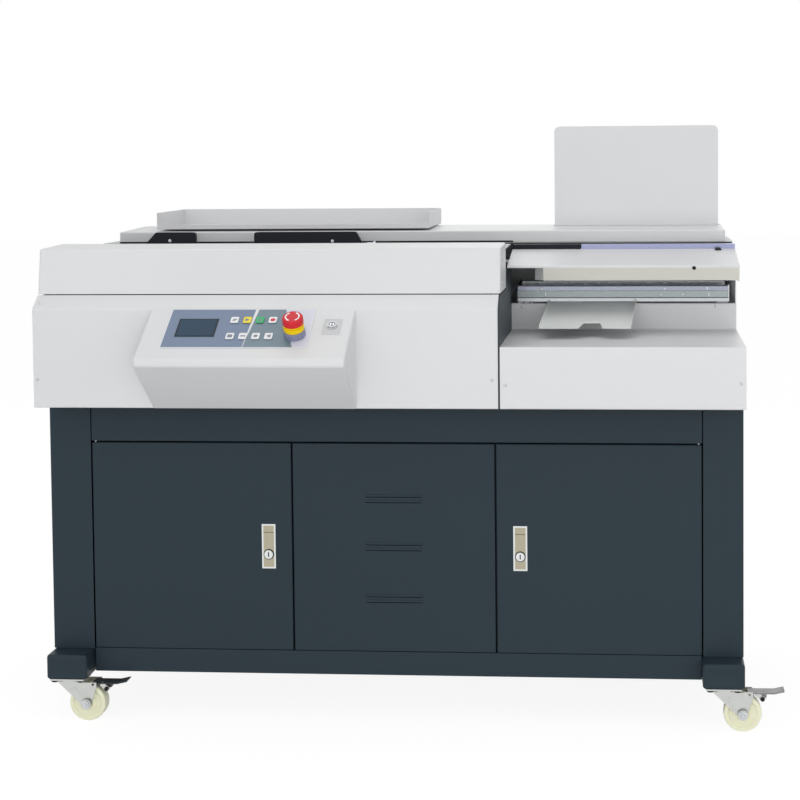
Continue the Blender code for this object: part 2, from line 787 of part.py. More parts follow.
def door_box(name, bay):
    """A folded door pan, open at the back, between two gap lines."""
    edges = bay_edges()
    left = edges[bay] + DOOR_GAP / 2
    right = edges[bay + 1] - DOOR_GAP / 2
    bottom = CABINET_FLOOR + DOOR_BOTTOM_GAP
    top = CABINET_TOP - TOP_BAND - DOOR_GAP
    pan = block(name, (left, behind(0), bottom), (right, behind(DOOR_DEPTH), top))
    hollow = block(
        name + "_hollow",
        (left + DOOR_WALL, behind(DOOR_WALL), bottom + DOOR_WALL),
        (right - DOOR_WALL, behind(DOOR_DEPTH + OVERRUN), top - DOOR_WALL),
    )
    cut(pan, hollow)
    return pan, left, right, bottom, top


def make_door(name, bay, hinge_on_left, slate, nickel):
    """A cabinet door with its lock plate, and the lock's turning cylinder."""
    pan, left, right, bottom, top = door_box(name, bay)
    lock_x = right - LOCK_FROM_EDGE if hinge_on_left else left + LOCK_FROM_EDGE
    lock_z = bottom + LOCK_HEIGHT
    plate = block(
        name + "_lock_plate",
        (lock_x - LOCK_PLATE_WIDTH / 2, behind(-LOCK_PLATE_PROUD), lock_z - LOCK_PLATE_HEIGHT / 2),
        (lock_x + LOCK_PLATE_WIDTH / 2, behind(DOOR_WALL / 2), lock_z + LOCK_PLATE_HEIGHT / 2),
    )
    centre_z = lock_z - LOCK_CYLINDER_DROP
    bore = cylinder(
        name + "_lock_bore",
        (lock_x, behind(-LOCK_PLATE_PROUD - OVERRUN), centre_z),
        LOCK_CYLINDER_RADIUS + RUNNING_CLEARANCE,
        LOCK_PLATE_PROUD + DOOR_WALL + 2 * OVERRUN,
        "Y",
        SMALL_ROUND,
    )
    weld(pan, plate)
    cut(pan, bore)
    hinge_x = bay_edges()[bay] if hinge_on_left else bay_edges()[bay + 1]
    painted(pivot_at(pan, (hinge_x, behind(0), bottom)), slate)
    lock = "lock_cylinder_" + name.split("_")[-1]
    face = behind(-LOCK_PLATE_PROUD - LOCK_CYLINDER_PROUD)
    barrel = cylinder(
        lock, (lock_x, face, centre_z), LOCK_CYLINDER_RADIUS, LOCK_CYLINDER_LENGTH, "Y", SMALL_ROUND
    )
    cam_back = face + LOCK_CYLINDER_LENGTH
    cam = block(
        lock + "_cam",
        (lock_x - LOCK_CAM_WIDTH / 2, cam_back - LOCK_CAM_SHEET, centre_z - LOCK_CAM_LENGTH),
        (lock_x + LOCK_CAM_WIDTH / 2, cam_back + OVERLAP, centre_z + LOCK_CAM_WIDTH / 2),
    )
    keyway = block(
        lock + "_keyway",
        (lock_x - LOCK_KEYWAY / 2, face - OVERRUN, centre_z - LOCK_KEYWAY_LENGTH / 2),
        (lock_x + LOCK_KEYWAY / 2, face + LOCK_KEYWAY_DEPTH, centre_z + LOCK_KEYWAY_LENGTH / 2),
    )
    weld(barrel, cam)
    cut(barrel, keyway)
    painted(barrel, nickel)


def make_centre_panel(slate):
    """The fixed panel between the doors, with three pairs of louvre slots."""
    pan, left, right, bottom, top = door_box("centre_panel", 1)
    middle = (left + right) / 2
    for index, share in enumerate(LOUVRE_HEIGHT_SHARES):
        for step, sign in enumerate((-1, 1)):
            level = bottom + (top - bottom) * share + sign * LOUVRE_PITCH / 2
            slot = block(
                f"louvre_{index}_{step}",
                (middle - LOUVRE_WIDTH / 2, behind(-OVERRUN), level - LOUVRE_SLOT / 2),
                (middle + LOUVRE_WIDTH / 2, behind(DOOR_WALL + OVERRUN), level + LOUVRE_SLOT / 2),
            )
            cut(pan, slot)
    painted(pan, slate)


def make_inside_units(grey, drab, zinc):
    """The waste bin, the dust extractor and the electrics box in the three bays."""
    edges = bay_edges()
    floor = CABINET_FLOOR + FRAME_SHEET + GAP
    left = edges[0] + BIN_SIDE_ROOM
    right = edges[1] - DIVIDER / 2 - BIN_SIDE_ROOM
    front = behind(DOOR_DEPTH + BIN_FRONT_ROOM)
    bin_box = block("dust_bin", (left, front, floor), (right, front + BIN_DEPTH, floor + BIN_HEIGHT))
    hollow = block(
        "dust_bin_hollow",
        (left + BIN_WALL, front + BIN_WALL, floor + BIN_WALL),
        (right - BIN_WALL, front + BIN_DEPTH - BIN_WALL, floor + BIN_HEIGHT + OVERRUN),
    )
    painted(cut(bin_box, hollow), drab)
    centre = ((edges[1] + edges[2]) / 2, behind(BODY_DEPTH / 2))
    drum = cylinder("extractor", (*centre, floor), EXTRACTOR_RADIUS, EXTRACTOR_HEIGHT)
    motor = cylinder(
        "extractor_motor",
        (*centre, floor + EXTRACTOR_HEIGHT - OVERLAP),
        EXTRACTOR_MOTOR_RADIUS,
        EXTRACTOR_MOTOR_HEIGHT,
    )
    spout = cylinder(
        "extractor_spout",
        (centre[0], centre[1] - EXTRACTOR_SPOUT_LENGTH, floor + EXTRACTOR_HEIGHT * 2 / 3),
        EXTRACTOR_SPOUT_RADIUS,
        EXTRACTOR_SPOUT_LENGTH,
        "Y",
        SMALL_ROUND,
    )
    weld(drum, motor, spout)
    room = cylinder(
        "extractor_room",
        (*centre, floor + EXTRACTOR_WALL),
        EXTRACTOR_RADIUS - EXTRACTOR_WALL,
        EXTRACTOR_HEIGHT - 2 * EXTRACTOR_WALL,
    )
    duct = cylinder(
        "extractor_duct",
        (centre[0], centre[1] - EXTRACTOR_SPOUT_LENGTH - OVERRUN, floor + EXTRACTOR_HEIGHT * 2 / 3),
        EXTRACTOR_SPOUT_RADIUS - EXTRACTOR_WALL,
        EXTRACTOR_SPOUT_LENGTH,
        "Y",
        SMALL_ROUND,
    )
    painted(cut(drum, room, duct), zinc)
    middle = (edges[2] + edges[3]) / 2
    back = behind(BODY_DEPTH - FRAME_SHEET - ELECTRICS_BACK_ROOM)
    low = floor + ELECTRICS_LIFT
    case = block(
        "electrics_box",
        (middle - ELECTRICS_WIDTH / 2, back - ELECTRICS_DEPTH, low),
        (middle + ELECTRICS_WIDTH / 2, back, low + ELECTRICS_HEIGHT),
    )
    for index, share in enumerate((1 / 3, 2 / 3)):
        level = low + ELECTRICS_HEIGHT * share
        row = block(
            f"electrics_row_{index}",
            (
                middle - ELECTRICS_DIN_WIDTH / 2,
                back - ELECTRICS_DEPTH - ELECTRICS_DIN_DEPTH,
                level - ELECTRICS_DIN_HEIGHT / 2,
            ),
            (
                middle + ELECTRICS_DIN_WIDTH / 2,
                back - ELECTRICS_DEPTH + OVERLAP,
                level + ELECTRICS_DIN_HEIGHT / 2,
            ),
        )
        weld(case, row)
    room = block(
        "electrics_room",
        (
            middle - ELECTRICS_WIDTH / 2 + ELECTRICS_WALL,
            back - ELECTRICS_DEPTH + ELECTRICS_WALL,
            low + ELECTRICS_WALL,
        ),
        (
            middle + ELECTRICS_WIDTH / 2 - ELECTRICS_WALL,
            back - ELECTRICS_WALL,
            low + ELECTRICS_HEIGHT - ELECTRICS_WALL,
        ),
    )
    entry = block(
        "electrics_entry",
        (middle - ELECTRICS_ENTRY_WIDTH / 2, back - ELECTRICS_DEPTH / 2, low - OVERRUN),
        (
            middle + ELECTRICS_ENTRY_WIDTH / 2,
            back - ELECTRICS_DEPTH / 2 + ELECTRICS_ENTRY_DEPTH,
            low + OVERRUN,
        ),
    )
    painted(cut(case, room, entry), grey)


def station_slope(distance):
    """The height of the right deck's sloping top at a place behind the cabinet's front."""
    front = DECK_TOP - STATION_DECK_DROP
    rear = DECK_TOP - STATION_DECK_REAR_DROP
    share = (distance - STATION_DECK_FRONT) / (SLOT_FRONT - STATION_DECK_FRONT)
    return front + (rear - front) * share


def make_body_covers(pale, shade, steel):
    """End covers, back cover, decks, rear housing and the plate between the two halves."""
    inside_front = behind(SHEET + GAP - COVER_STAND)
    inside_back = behind(BODY_DEPTH - SHEET - GAP)
    under_deck = DECK_BOTTOM - GAP
    flange_end = behind(COVER_FLANGE - COVER_STAND) + GAP
    flange_top = BODY_FLOOR + SHEET + GAP
    left_outline = [
        (inside_front, flange_top),
        (flange_end, flange_top),
        (flange_end, BODY_FLOOR),
        (inside_back, BODY_FLOOR),
        (inside_back, under_deck),
        (behind(DECK_FRONT), under_deck),
        (behind(DECK_FRONT), LID_BOTTOM - 2 * SEAM),
        (behind(LID_FRONT) + SEAM, LID_BOTTOM - 2 * SEAM),
        (inside_front, SHOULDER_FOOT - SEAM),
    ]
    painted(slab("side_cover_left", left_outline, "X", LEFT_X, LEFT_X + SHEET), pale)
    ledge_under = LEDGE_TOP - SHEET - GAP
    wall_back = behind(LEDGE_BACK + RECESS_FLANGE + SEAM)
    cheek = DECK_TOP - SIDE_CHEEK_DROP
    nose = STATION_DECK_FRONT + FASCIA_LEAN + SHEET + SEAM
    right_outline = [
        (inside_front, flange_top),
        (flange_end, flange_top),
        (flange_end, BODY_FLOOR),
        (inside_back, BODY_FLOOR),
        (inside_back, under_deck),
        (behind(SLOT_BACK), under_deck),
        (behind(SLOT_FRONT), station_slope(SLOT_FRONT) - DECK_SHEET - GAP),
        (behind(nose), station_slope(nose) - DECK_SHEET - GAP),
        (behind(nose), cheek),
        (wall_back, cheek),
        (wall_back, ledge_under),
        (inside_front, ledge_under),
    ]
    painted(slab("side_cover_right", right_outline, "X", RIGHT_X - SHEET, RIGHT_X), pale)

    rear_path = [
        (behind(BODY_DEPTH), BODY_FLOOR),
        (behind(BODY_DEPTH), DECK_TOP),
        (behind(SLOT_BACK), DECK_TOP),
    ]
    painted(folded("rear_cover", rear_path, "X", LEFT_X, RIGHT_X, SHEET, 1), shade)

    deck = block(
        "deck_left",
        (LEFT_X, behind(DECK_FRONT), DECK_BOTTOM),
        (SPLIT_X - SEAM, behind(SLOT_FRONT), DECK_TOP),
    )
    knuckle_y = behind(LID_REAR + HINGE_KNUCKLE + GAP)
    knuckle = cylinder(
        "lid_hinge_knuckle",
        (LEFT_X + HINGE_MARGIN, knuckle_y, DECK_TOP + HINGE_KNUCKLE - OVERLAP / 2),
        HINGE_KNUCKLE,
        COVER_SPLIT + MACHINE_WIDTH / 2 - 2 * HINGE_MARGIN,
        "X",
        PIN_SIDES,
    )
    painted(weld(deck, knuckle), shade)

    right_left = SPLIT_X + MID_PLATE + GAP
    rail_front = SLOT_FRONT - STATION_RAIL_WIDTH
    deck_outline = [
        (behind(STATION_DECK_FRONT), station_slope(STATION_DECK_FRONT)),
        (behind(STATION_DECK_FRONT + FASCIA_LEAN), station_slope(STATION_DECK_FRONT) - FASCIA_HEIGHT),
        (
            behind(STATION_DECK_FRONT + FASCIA_LEAN + SHEET),
            station_slope(STATION_DECK_FRONT) - FASCIA_HEIGHT,
        ),
        (
            behind(STATION_DECK_FRONT + FASCIA_LEAN + SHEET),
            station_slope(STATION_DECK_FRONT + FASCIA_LEAN + SHEET) - DECK_SHEET,
        ),
        (behind(SLOT_FRONT), station_slope(SLOT_FRONT) - DECK_SHEET),
        (behind(SLOT_FRONT), station_slope(SLOT_FRONT) + STATION_RAIL_HEIGHT),
        (behind(rail_front), station_slope(SLOT_FRONT) + STATION_RAIL_HEIGHT),
        (behind(rail_front), station_slope(rail_front)),
    ]
    painted(slab("deck_right", deck_outline, "X", right_left, RIGHT_X), pale)

    housing_left = LEFT_X + HOUSING_LEFT_INSET
    housing_right = RIGHT_X - HOUSING_RIGHT_INSET
    base = DECK_TOP + GAP
    housing_outline = [
        (behind(SLOT_BACK), base),
        (behind(BODY_DEPTH), base),
        (behind(BODY_DEPTH), HOUSING_TOP_REAR),
        (behind(SLOT_BACK), HOUSING_TOP_FRONT),
    ]
    hollow_outline = [
        (behind(SLOT_BACK + SHEET), base - OVERRUN),
        (behind(BODY_DEPTH - SHEET), base - OVERRUN),
        (behind(BODY_DEPTH - SHEET), HOUSING_TOP_REAR - SHEET),
        (behind(SLOT_BACK + SHEET), HOUSING_TOP_FRONT - SHEET),
    ]
    housing = slab("rear_housing", housing_outline, "X", housing_left, housing_right)
    hollow = slab(
        "housing_hollow", hollow_outline, "X", housing_left + SHEET, housing_right - SHEET
    )
    painted(cut(housing, hollow), pale)

    plate_back = behind(BODY_DEPTH - SHEET - GAP)
    tunnel = DECK_BOTTOM - TUNNEL_HEIGHT
    plate_outline = [
        (inside_front, BODY_FLOOR),
        (plate_back, BODY_FLOOR),
        (plate_back, tunnel),
        (behind(TUNNEL_FRONT), tunnel),
        (behind(TUNNEL_FRONT), DECK_BOTTOM - MID_PLATE_TOP_ROOM - STATION_DECK_DROP),
        (behind(DECK_FRONT), DECK_BOTTOM - MID_PLATE_TOP_ROOM - STATION_DECK_DROP),
        (behind(DECK_FRONT), LID_BOTTOM - 2 * SEAM),
        (behind(LID_FRONT) + SEAM, LID_BOTTOM - 2 * SEAM),
        (inside_front, SHOULDER_FOOT - SEAM),
    ]
    painted(slab("mid_plate", plate_outline, "X", SPLIT_X, SPLIT_X + MID_PLATE), steel)


def make_front_covers(pale):
    """The two front covers and the hinged lid above the left one."""
    left_path = [
        (behind(COVER_FLANGE - COVER_STAND), BODY_FLOOR),
        (behind(-COVER_STAND), BODY_FLOOR),
        (behind(-COVER_STAND), SHOULDER_FOOT),
        (behind(SHOULDER_RUN - COVER_STAND), SHOULDER_TOP),
    ]
    left = folded("front_cover_left", left_path, "X", LEFT_X, SPLIT_X - GAP, SHEET, -1)
    painted(left, pale)
    right_path = [
        (behind(COVER_FLANGE - COVER_STAND), BODY_FLOOR),
        (behind(-COVER_STAND), BODY_FLOOR),
        (behind(-COVER_STAND), LEDGE_TOP),
        (behind(LEDGE_BACK), LEDGE_TOP),
        (behind(LEDGE_BACK), RECESS_TOP),
        (behind(LEDGE_BACK + RECESS_FLANGE), RECESS_TOP),
    ]
    right_start = SPLIT_X + MID_PLATE + GAP
    right = folded("front_cover_right", right_path, "X", right_start, RIGHT_X, SHEET, -1)
    painted(right, pale)

    front = behind(LID_FRONT)
    rear = behind(LID_REAR)
    lid_right = SPLIT_X + MID_PLATE
    outline = [
        (front, LID_BOTTOM),
        (rear, LID_BOTTOM),
        (rear, LID_TOP + LID_CROWN),
        (front + LID_LEAN, LID_TOP),
    ]
    lean = LID_LEAN / LID_HEIGHT
    inner = [
        (front + SHEET - lean * OVERRUN, LID_BOTTOM - OVERRUN),
        (rear + OVERRUN, LID_BOTTOM - OVERRUN),
        (rear + OVERRUN, LID_TOP + LID_CROWN - SHEET),
        (front + LID_LEAN + SHEET, LID_TOP - SHEET),
    ]
    lid = slab("front_lid", outline, "X", LEFT_X, lid_right)
    cut(lid, slab("lid_hollow", inner, "X", LEFT_X + SHEET, lid_right - SHEET))
    leaf = block(
        "lid_leaf",
        (LEFT_X + HINGE_MARGIN, rear - SHEET, DECK_TOP + GAP),
        (lid_right - HINGE_MARGIN, rear, LID_TOP + LID_CROWN - SHEET / 2),
    )
    weld(lid, leaf)
    hinge = (LEFT_X, rear + HINGE_KNUCKLE + GAP, DECK_TOP + HINGE_KNUCKLE - OVERLAP / 2)
    painted(pivot_at(lid, hinge), pale)


def make_tray_and_fence(pale):
    """The shallow open-front tray and the upright fence on the rear housing."""
    slope = (HOUSING_TOP_REAR - HOUSING_TOP_FRONT) / (BODY_DEPTH - SLOT_BACK)
    floor = HOUSING_TOP_REAR + GAP
    left = LEFT_X + TRAY_LEFT
    right = left + TRAY_WIDTH
    front = behind(TRAY_FRONT)
    rear = front + TRAY_DEPTH
    tray = block("book_tray", (left, front, floor), (right, rear, floor + TRAY_HEIGHT))
    hollow = block(
        "tray_hollow",
        (left + TRAY_SHEET, front - OVERRUN, floor + TRAY_SHEET),
        (right - TRAY_SHEET, rear - TRAY_SHEET, floor + TRAY_HEIGHT + OVERRUN),
    )
    lip = block(
        "tray_lip",
        (left, front, floor),
        (right, front + TRAY_SHEET, floor + TRAY_LIP),
    )
    cut(tray, hollow)
    painted(weld(tray, lip), pale)
    fence_right = RIGHT_X - FENCE_RIGHT_INSET
    face = behind(BODY_DEPTH - FENCE_SETBACK)
    path_foot = face - FENCE_FOOT
    foot_level = HOUSING_TOP_FRONT + slope * (path_foot - behind(SLOT_BACK))
    base = HOUSING_TOP_FRONT + slope * (face + FENCE_SHEET - behind(SLOT_BACK)) + GAP
    corner = FENCE_CORNER
    top = base + FENCE_HEIGHT
    fence_left = fence_right - FENCE_WIDTH
    outline = [
        (fence_left, base),
        (fence_right, base),
        *arc((fence_right - corner, top - corner), corner, 0, 90, 4),
        *arc((fence_left + corner, top - corner), corner, 90, 180, 4),
    ]
    fence = slab("cover_fence", outline, "Y", face, face + FENCE_SHEET)
    foot_outline = [
        (path_foot, foot_level + GAP),
        (face + FENCE_SHEET, base),
        (face + FENCE_SHEET, base + FENCE_SHEET),
        (path_foot, foot_level + GAP + FENCE_SHEET),
    ]
    painted(weld(fence, slab("fence_foot", foot_outline, "X", fence_left, fence_right)), pale)


def control_face():
    """An empty on the inclined face: X to the right, Y up the slope, Z out of the face."""
    empty = bpy.data.objects.new("control_face", None)
    MODEL.objects.link(empty)
    empty.location = (LEFT_X + CONTROL_LEFT, behind(-COVER_STAND) - GAP, SHOULDER_FOOT)
    empty.rotation_euler = (control_angle(), 0, 0)
    return empty


def control_angle():
    return math.atan2(CONTROL_DROP, CONTROL_DEPTH - GAP)


def on_face(obj, face):
    """Ties an object that was made in the face's own directions to the face."""
    obj.parent = face
    return obj


def make_control_box(pale, blue, red, yellow, nickel, key_finishes):
    """The wedge-shaped control box with its keypad, keys, stop button and key switch."""
    left = LEFT_X + CONTROL_LEFT
    right = left + CONTROL_WIDTH
    back = behind(-COVER_STAND) - GAP
    lip = behind(-COVER_STAND - CONTROL_DEPTH)
    lip_top = SHOULDER_FOOT - CONTROL_DROP
    outline = [
        (back, BODY_FLOOR),
        (back, SHOULDER_FOOT),
        (lip, lip_top),
        (lip, lip_top - CONTROL_LIP),
    ]
    inner = [
        (back + OVERRUN, BODY_FLOOR + 2 * CONTROL_WALL),
        (back + OVERRUN, SHOULDER_FOOT - 2 * CONTROL_WALL),
        (back - CONTROL_WALL, SHOULDER_FOOT - 2 * CONTROL_WALL),
        (lip + 2 * CONTROL_WALL, lip_top - CONTROL_WALL / 2),
        (lip + 2 * CONTROL_WALL, lip_top - CONTROL_LIP + CONTROL_WALL),
        (back - CONTROL_WALL, BODY_FLOOR + 2 * CONTROL_WALL),
    ]
    case = slab("control_box", outline, "X", left, right)
    cut(case, slab("control_hollow", inner, "X", left + CONTROL_WALL, right - CONTROL_WALL))
    face = control_face()
    bpy.context.view_layer.update()

    first_key = KEY_FIRST - KEY_RADIUS - KEY_WINDOW_MARGIN
    last_key = KEY_FIRST + (KEY_COLUMNS - 1) * KEY_PITCH + KEY_RADIUS + KEY_WINDOW_MARGIN
    key_margin = KEY_RADIUS + KEY_WINDOW_MARGIN
    last_row = KEY_FIRST_ROW + (KEY_ROWS - 1) * KEY_ROW_PITCH
    window = block(
        "key_window",
        (first_key, -last_row - key_margin, -4 * CONTROL_WALL),
        (last_key, -KEY_FIRST_ROW + key_margin, OVERRUN),
    )
    switch_bore = cylinder(
        "key_switch_bore",
        (KEYSWITCH_FROM_LEFT, -KEYSWITCH_DOWN, -4 * CONTROL_WALL),
        KEYSWITCH_RADIUS + RUNNING_CLEARANCE,
        4 * CONTROL_WALL + OVERRUN,
        "Z",
        SMALL_ROUND,
    )
    cut(case, on_face(window, face), on_face(switch_bore, face))
    painted(bevelled(case, SHEET / 2), pale)

    panel = block(
        "key_panel",
        (PANEL_LEFT, -PANEL_TOP_MARGIN - PANEL_LENGTH, GAP),
        (PANEL_LEFT + PANEL_WIDTH, -PANEL_TOP_MARGIN, GAP + PANEL_SHEET),
    )
    display = block(
        "display_rim",
        (DISPLAY_LEFT, -DISPLAY_TOP - DISPLAY_LENGTH, GAP + PANEL_SHEET / 2),
        (DISPLAY_LEFT + DISPLAY_WIDTH, -DISPLAY_TOP, GAP + PANEL_SHEET + DISPLAY_PROUD),
    )
    weld(on_face(panel, face), on_face(display, face))
    number = 0
    panel_top = GAP + PANEL_SHEET
    for row in range(KEY_ROWS):
        for column in range(KEY_COLUMNS):
            place = (KEY_FIRST + column * KEY_PITCH, -KEY_FIRST_ROW - row * KEY_ROW_PITCH)
            bore = cylinder(
                f"key_bore_{number + 1}",
                (*place, -OVERRUN),
                KEY_RADIUS + KEY_CLEARANCE,
                panel_top + 2 * OVERRUN,
                "Z",
                SMALL_ROUND,
            )
            cut(panel, on_face(bore, face))
            key = cylinder(
                f"key_{number + 1}",
                (*place, panel_top + KEY_PROUD - KEY_LENGTH),
                KEY_RADIUS,
                KEY_LENGTH,
                "Z",
                SMALL_ROUND,
            )
            painted(bevelled(on_face(key, face), KEY_FLANGE), key_finishes[number])
            number += 1
    painted(panel, blue)

    place = (ESTOP_FROM_LEFT, -ESTOP_DOWN)
    seat = panel_top + GAP
    neck_top = ESTOP_BASE_HEIGHT + ESTOP_NECK_HEIGHT
    bore_radius = ESTOP_STEM_RADIUS + RUNNING_CLEARANCE
    bore_floor = neck_top - ESTOP_STEM_DEPTH - ESTOP_TRAVEL
    body_profile = [
        (0, bore_floor),
        (bore_radius, bore_floor),
        (bore_radius, neck_top),
        (ESTOP_NECK_RADIUS, neck_top),
        (ESTOP_NECK_RADIUS, ESTOP_BASE_HEIGHT),
        (ESTOP_BASE_RADIUS, ESTOP_BASE_HEIGHT),
        (ESTOP_BASE_RADIUS, 0),
        (0, 0),
    ]
    body = turned("estop_body", body_profile, (*place, seat), "Z", SMALL_ROUND)
    painted(on_face(body, face), yellow)
    head_low = neck_top + ESTOP_TRAVEL + GAP
    head_top = head_low + ESTOP_HEAD_HEIGHT
    head_profile = [
        (0, head_top),
        (ESTOP_HEAD_RADIUS - ESTOP_HEAD_ROUND, head_top),
        *[
            (ESTOP_HEAD_RADIUS - ESTOP_HEAD_ROUND + dx, head_top - ESTOP_HEAD_ROUND + dz)
            for dx, dz in arc((0, 0), ESTOP_HEAD_ROUND, 60, 0, 2)
        ],
        (ESTOP_HEAD_RADIUS, head_low),
        (ESTOP_STEM_RADIUS, head_low),
        (ESTOP_STEM_RADIUS, neck_top - ESTOP_STEM_DEPTH + GAP),
        (0, neck_top - ESTOP_STEM_DEPTH + GAP),
    ]
    head = turned("estop_head", head_profile, (*place, seat), "Z", ROUND)
    painted(on_face(head, face), red)

    switch = cylinder(
        "key_switch",
        (KEYSWITCH_FROM_LEFT, -KEYSWITCH_DOWN, KEYSWITCH_PROUD - KEYSWITCH_LENGTH),
        KEYSWITCH_RADIUS,
        KEYSWITCH_LENGTH,
        "Z",
        SMALL_ROUND,
    )
    keyway = block(
        "key_switch_keyway",
        (
            KEYSWITCH_FROM_LEFT - LOCK_KEYWAY / 2,
            -KEYSWITCH_DOWN - LOCK_KEYWAY_LENGTH / 2,
            KEYSWITCH_PROUD - LOCK_KEYWAY_DEPTH,
        ),
        (
            KEYSWITCH_FROM_LEFT + LOCK_KEYWAY / 2,
            -KEYSWITCH_DOWN + LOCK_KEYWAY_LENGTH / 2,
            KEYSWITCH_PROUD + OVERRUN,
        ),
    )
    cut(on_face(switch, face), on_face(keyway, face))
    painted(switch, nickel)


def make_clamp(black, steel):
    """The guide shaft, the sliding carriage with its rear jaw, and the moving front jaw."""
    shaft_y = behind(SLOT_BACK + SHAFT_SETBACK)
    shaft_z = DECK_TOP - SHAFT_DROP
    shaft_left = LEFT_X + SHEET + GAP
    shaft_length = MACHINE_WIDTH - 2 * (SHEET + GAP)
    shaft = cylinder("guide_shaft", (shaft_left, shaft_y, shaft_z), SHAFT_RADIUS, shaft_length, "X")
    painted(shaft, steel)

    left = LEFT_X + CLAMP_LEFT
    right = left + CLAMP_LENGTH
    rear_back = behind(SLOT_BACK - CLAMP_SLOT_ROOM)
    carriage = block(
        "clamp_carriage",
        (left, rear_back - CLAMP_JAW, CLAMP_BOTTOM),
        (right, rear_back, CLAMP_TOP),
    )
    middle = (left + right) / 2
    saddle = block(
        "carriage_saddle",
        (middle - SADDLE_LENGTH / 2, rear_back - OVERLAP, shaft_z - SADDLE_HEIGHT / 2),
        (middle + SADDLE_LENGTH / 2, shaft_y + SADDLE_DEPTH / 2, shaft_z + SADDLE_HEIGHT / 2),
    )
    bore = cylinder(
        "saddle_bore",
        (middle - SADDLE_LENGTH / 2 - OVERRUN, shaft_y, shaft_z),
        SHAFT_RADIUS + SADDLE_CLEARANCE,
        SADDLE_LENGTH + 2 * OVERRUN,
        "X",
    )
    weld(carriage, saddle)
    cut(carriage, bore)
    jaw_front = behind(SLOT_FRONT + CLAMP_SLOT_ROOM)
    jaw_mid = (CLAMP_TOP + CLAMP_BOTTOM) / 2
    for index, x in enumerate((left + JAW_PIN_INSET, right - JAW_PIN_INSET)):
        pin = cylinder(
            f"jaw_pin_{index}",
            (x, jaw_front, jaw_mid),
            JAW_PIN_RADIUS,
            rear_back - CLAMP_JAW - jaw_front + OVERLAP,
            "Y",
            SMALL_ROUND,
        )
        weld(carriage, pin)
    painted(carriage, steel)

    horn_top = DECK_TOP + HORN_RISE
    corner = HORN_CORNER
    left_end = left + HORN_LEFT_WIDTH
    right_start = right - HORN_RIGHT_WIDTH
    jaw_outline = [
        (left, CLAMP_BOTTOM),
        (right, CLAMP_BOTTOM),
        (right, DECK_TOP),
        *arc((right - HORN_RIGHT_SLANT - corner, horn_top - corner), corner, 25, 90, 3),
        *arc((right_start + corner, horn_top - corner), corner, 90, 180, 3),
        (right_start, CLAMP_TOP),
        (left_end, CLAMP_TOP),
        *arc((left_end - corner, horn_top - corner), corner, 0, 90, 3),
        *arc((left + HORN_LEFT_SLANT + corner, horn_top - corner), corner, 90, 140, 3),
        (left, DECK_TOP),
    ]
    jaw = slab("clamp_jaw", jaw_outline, "Y", jaw_front, jaw_front + CLAMP_JAW)
    for index, x in enumerate((left + JAW_PIN_INSET, right - JAW_PIN_INSET)):
        hole = cylinder(
            f"jaw_pin_bore_{index}",
            (x, jaw_front - OVERRUN, jaw_mid),
            JAW_PIN_RADIUS + RUNNING_CLEARANCE,
            CLAMP_JAW + 2 * OVERRUN,
            "Y",
            SMALL_ROUND,
        )
        cut(jaw, hole)
    painted(jaw, black)


def make_milling(steel, grey):
    """The toothed milling disc on its spindle, and the motor that stands on the cabinet."""
    x = MID_X + CUTTER_X
    y = behind(SLOT_FRONT + SLOT_WIDTH / 2)
    top = CLAMP_BOTTOM - PASS_ROOM
    disc = cylinder("cutter", (x, y, top - CUTTER_THICKNESS), CUTTER_RADIUS, CUTTER_THICKNESS)
    for index in range(CUTTER_TEETH):
        angle = 2 * math.pi * index / CUTTER_TEETH
        notch = block(
            f"cutter_notch_{index}",
            (CUTTER_RADIUS - CUTTER_TOOTH_DEPTH, -CUTTER_TOOTH_WIDTH / 2, -OVERRUN),
            (
                CUTTER_RADIUS + CUTTER_TOOTH_DEPTH,
                CUTTER_TOOTH_WIDTH / 2,
                CUTTER_THICKNESS + OVERRUN,
            ),
        )
        pivot_at(notch, (0, 0, 0))
        notch.location = (x, y, top - CUTTER_THICKNESS)
        notch.rotation_euler = (0, 0, angle)
        cut(disc, notch)
    spindle_low = top - CUTTER_THICKNESS - SPINDLE_LENGTH
    spindle = cylinder(
        "cutter_spindle",
        (x, y, spindle_low),
        SPINDLE_RADIUS,
        SPINDLE_LENGTH + OVERLAP,
        "Z",
        SMALL_ROUND,
    )
    painted(weld(disc, spindle), steel)
    motor_top = spindle_low - GAP
    motor = cylinder("cutter_motor", (x, y, BODY_FLOOR), MOTOR_RADIUS, motor_top - BODY_FLOOR)
    flange = block(
        "cutter_motor_flange",
        (x - MOTOR_FLANGE / 2, y - MOTOR_FLANGE / 2, BODY_FLOOR),
        (x + MOTOR_FLANGE / 2, y + MOTOR_FLANGE / 2, BODY_FLOOR + MOTOR_FLANGE_HEIGHT),
    )
    painted(weld(motor, flange), grey)


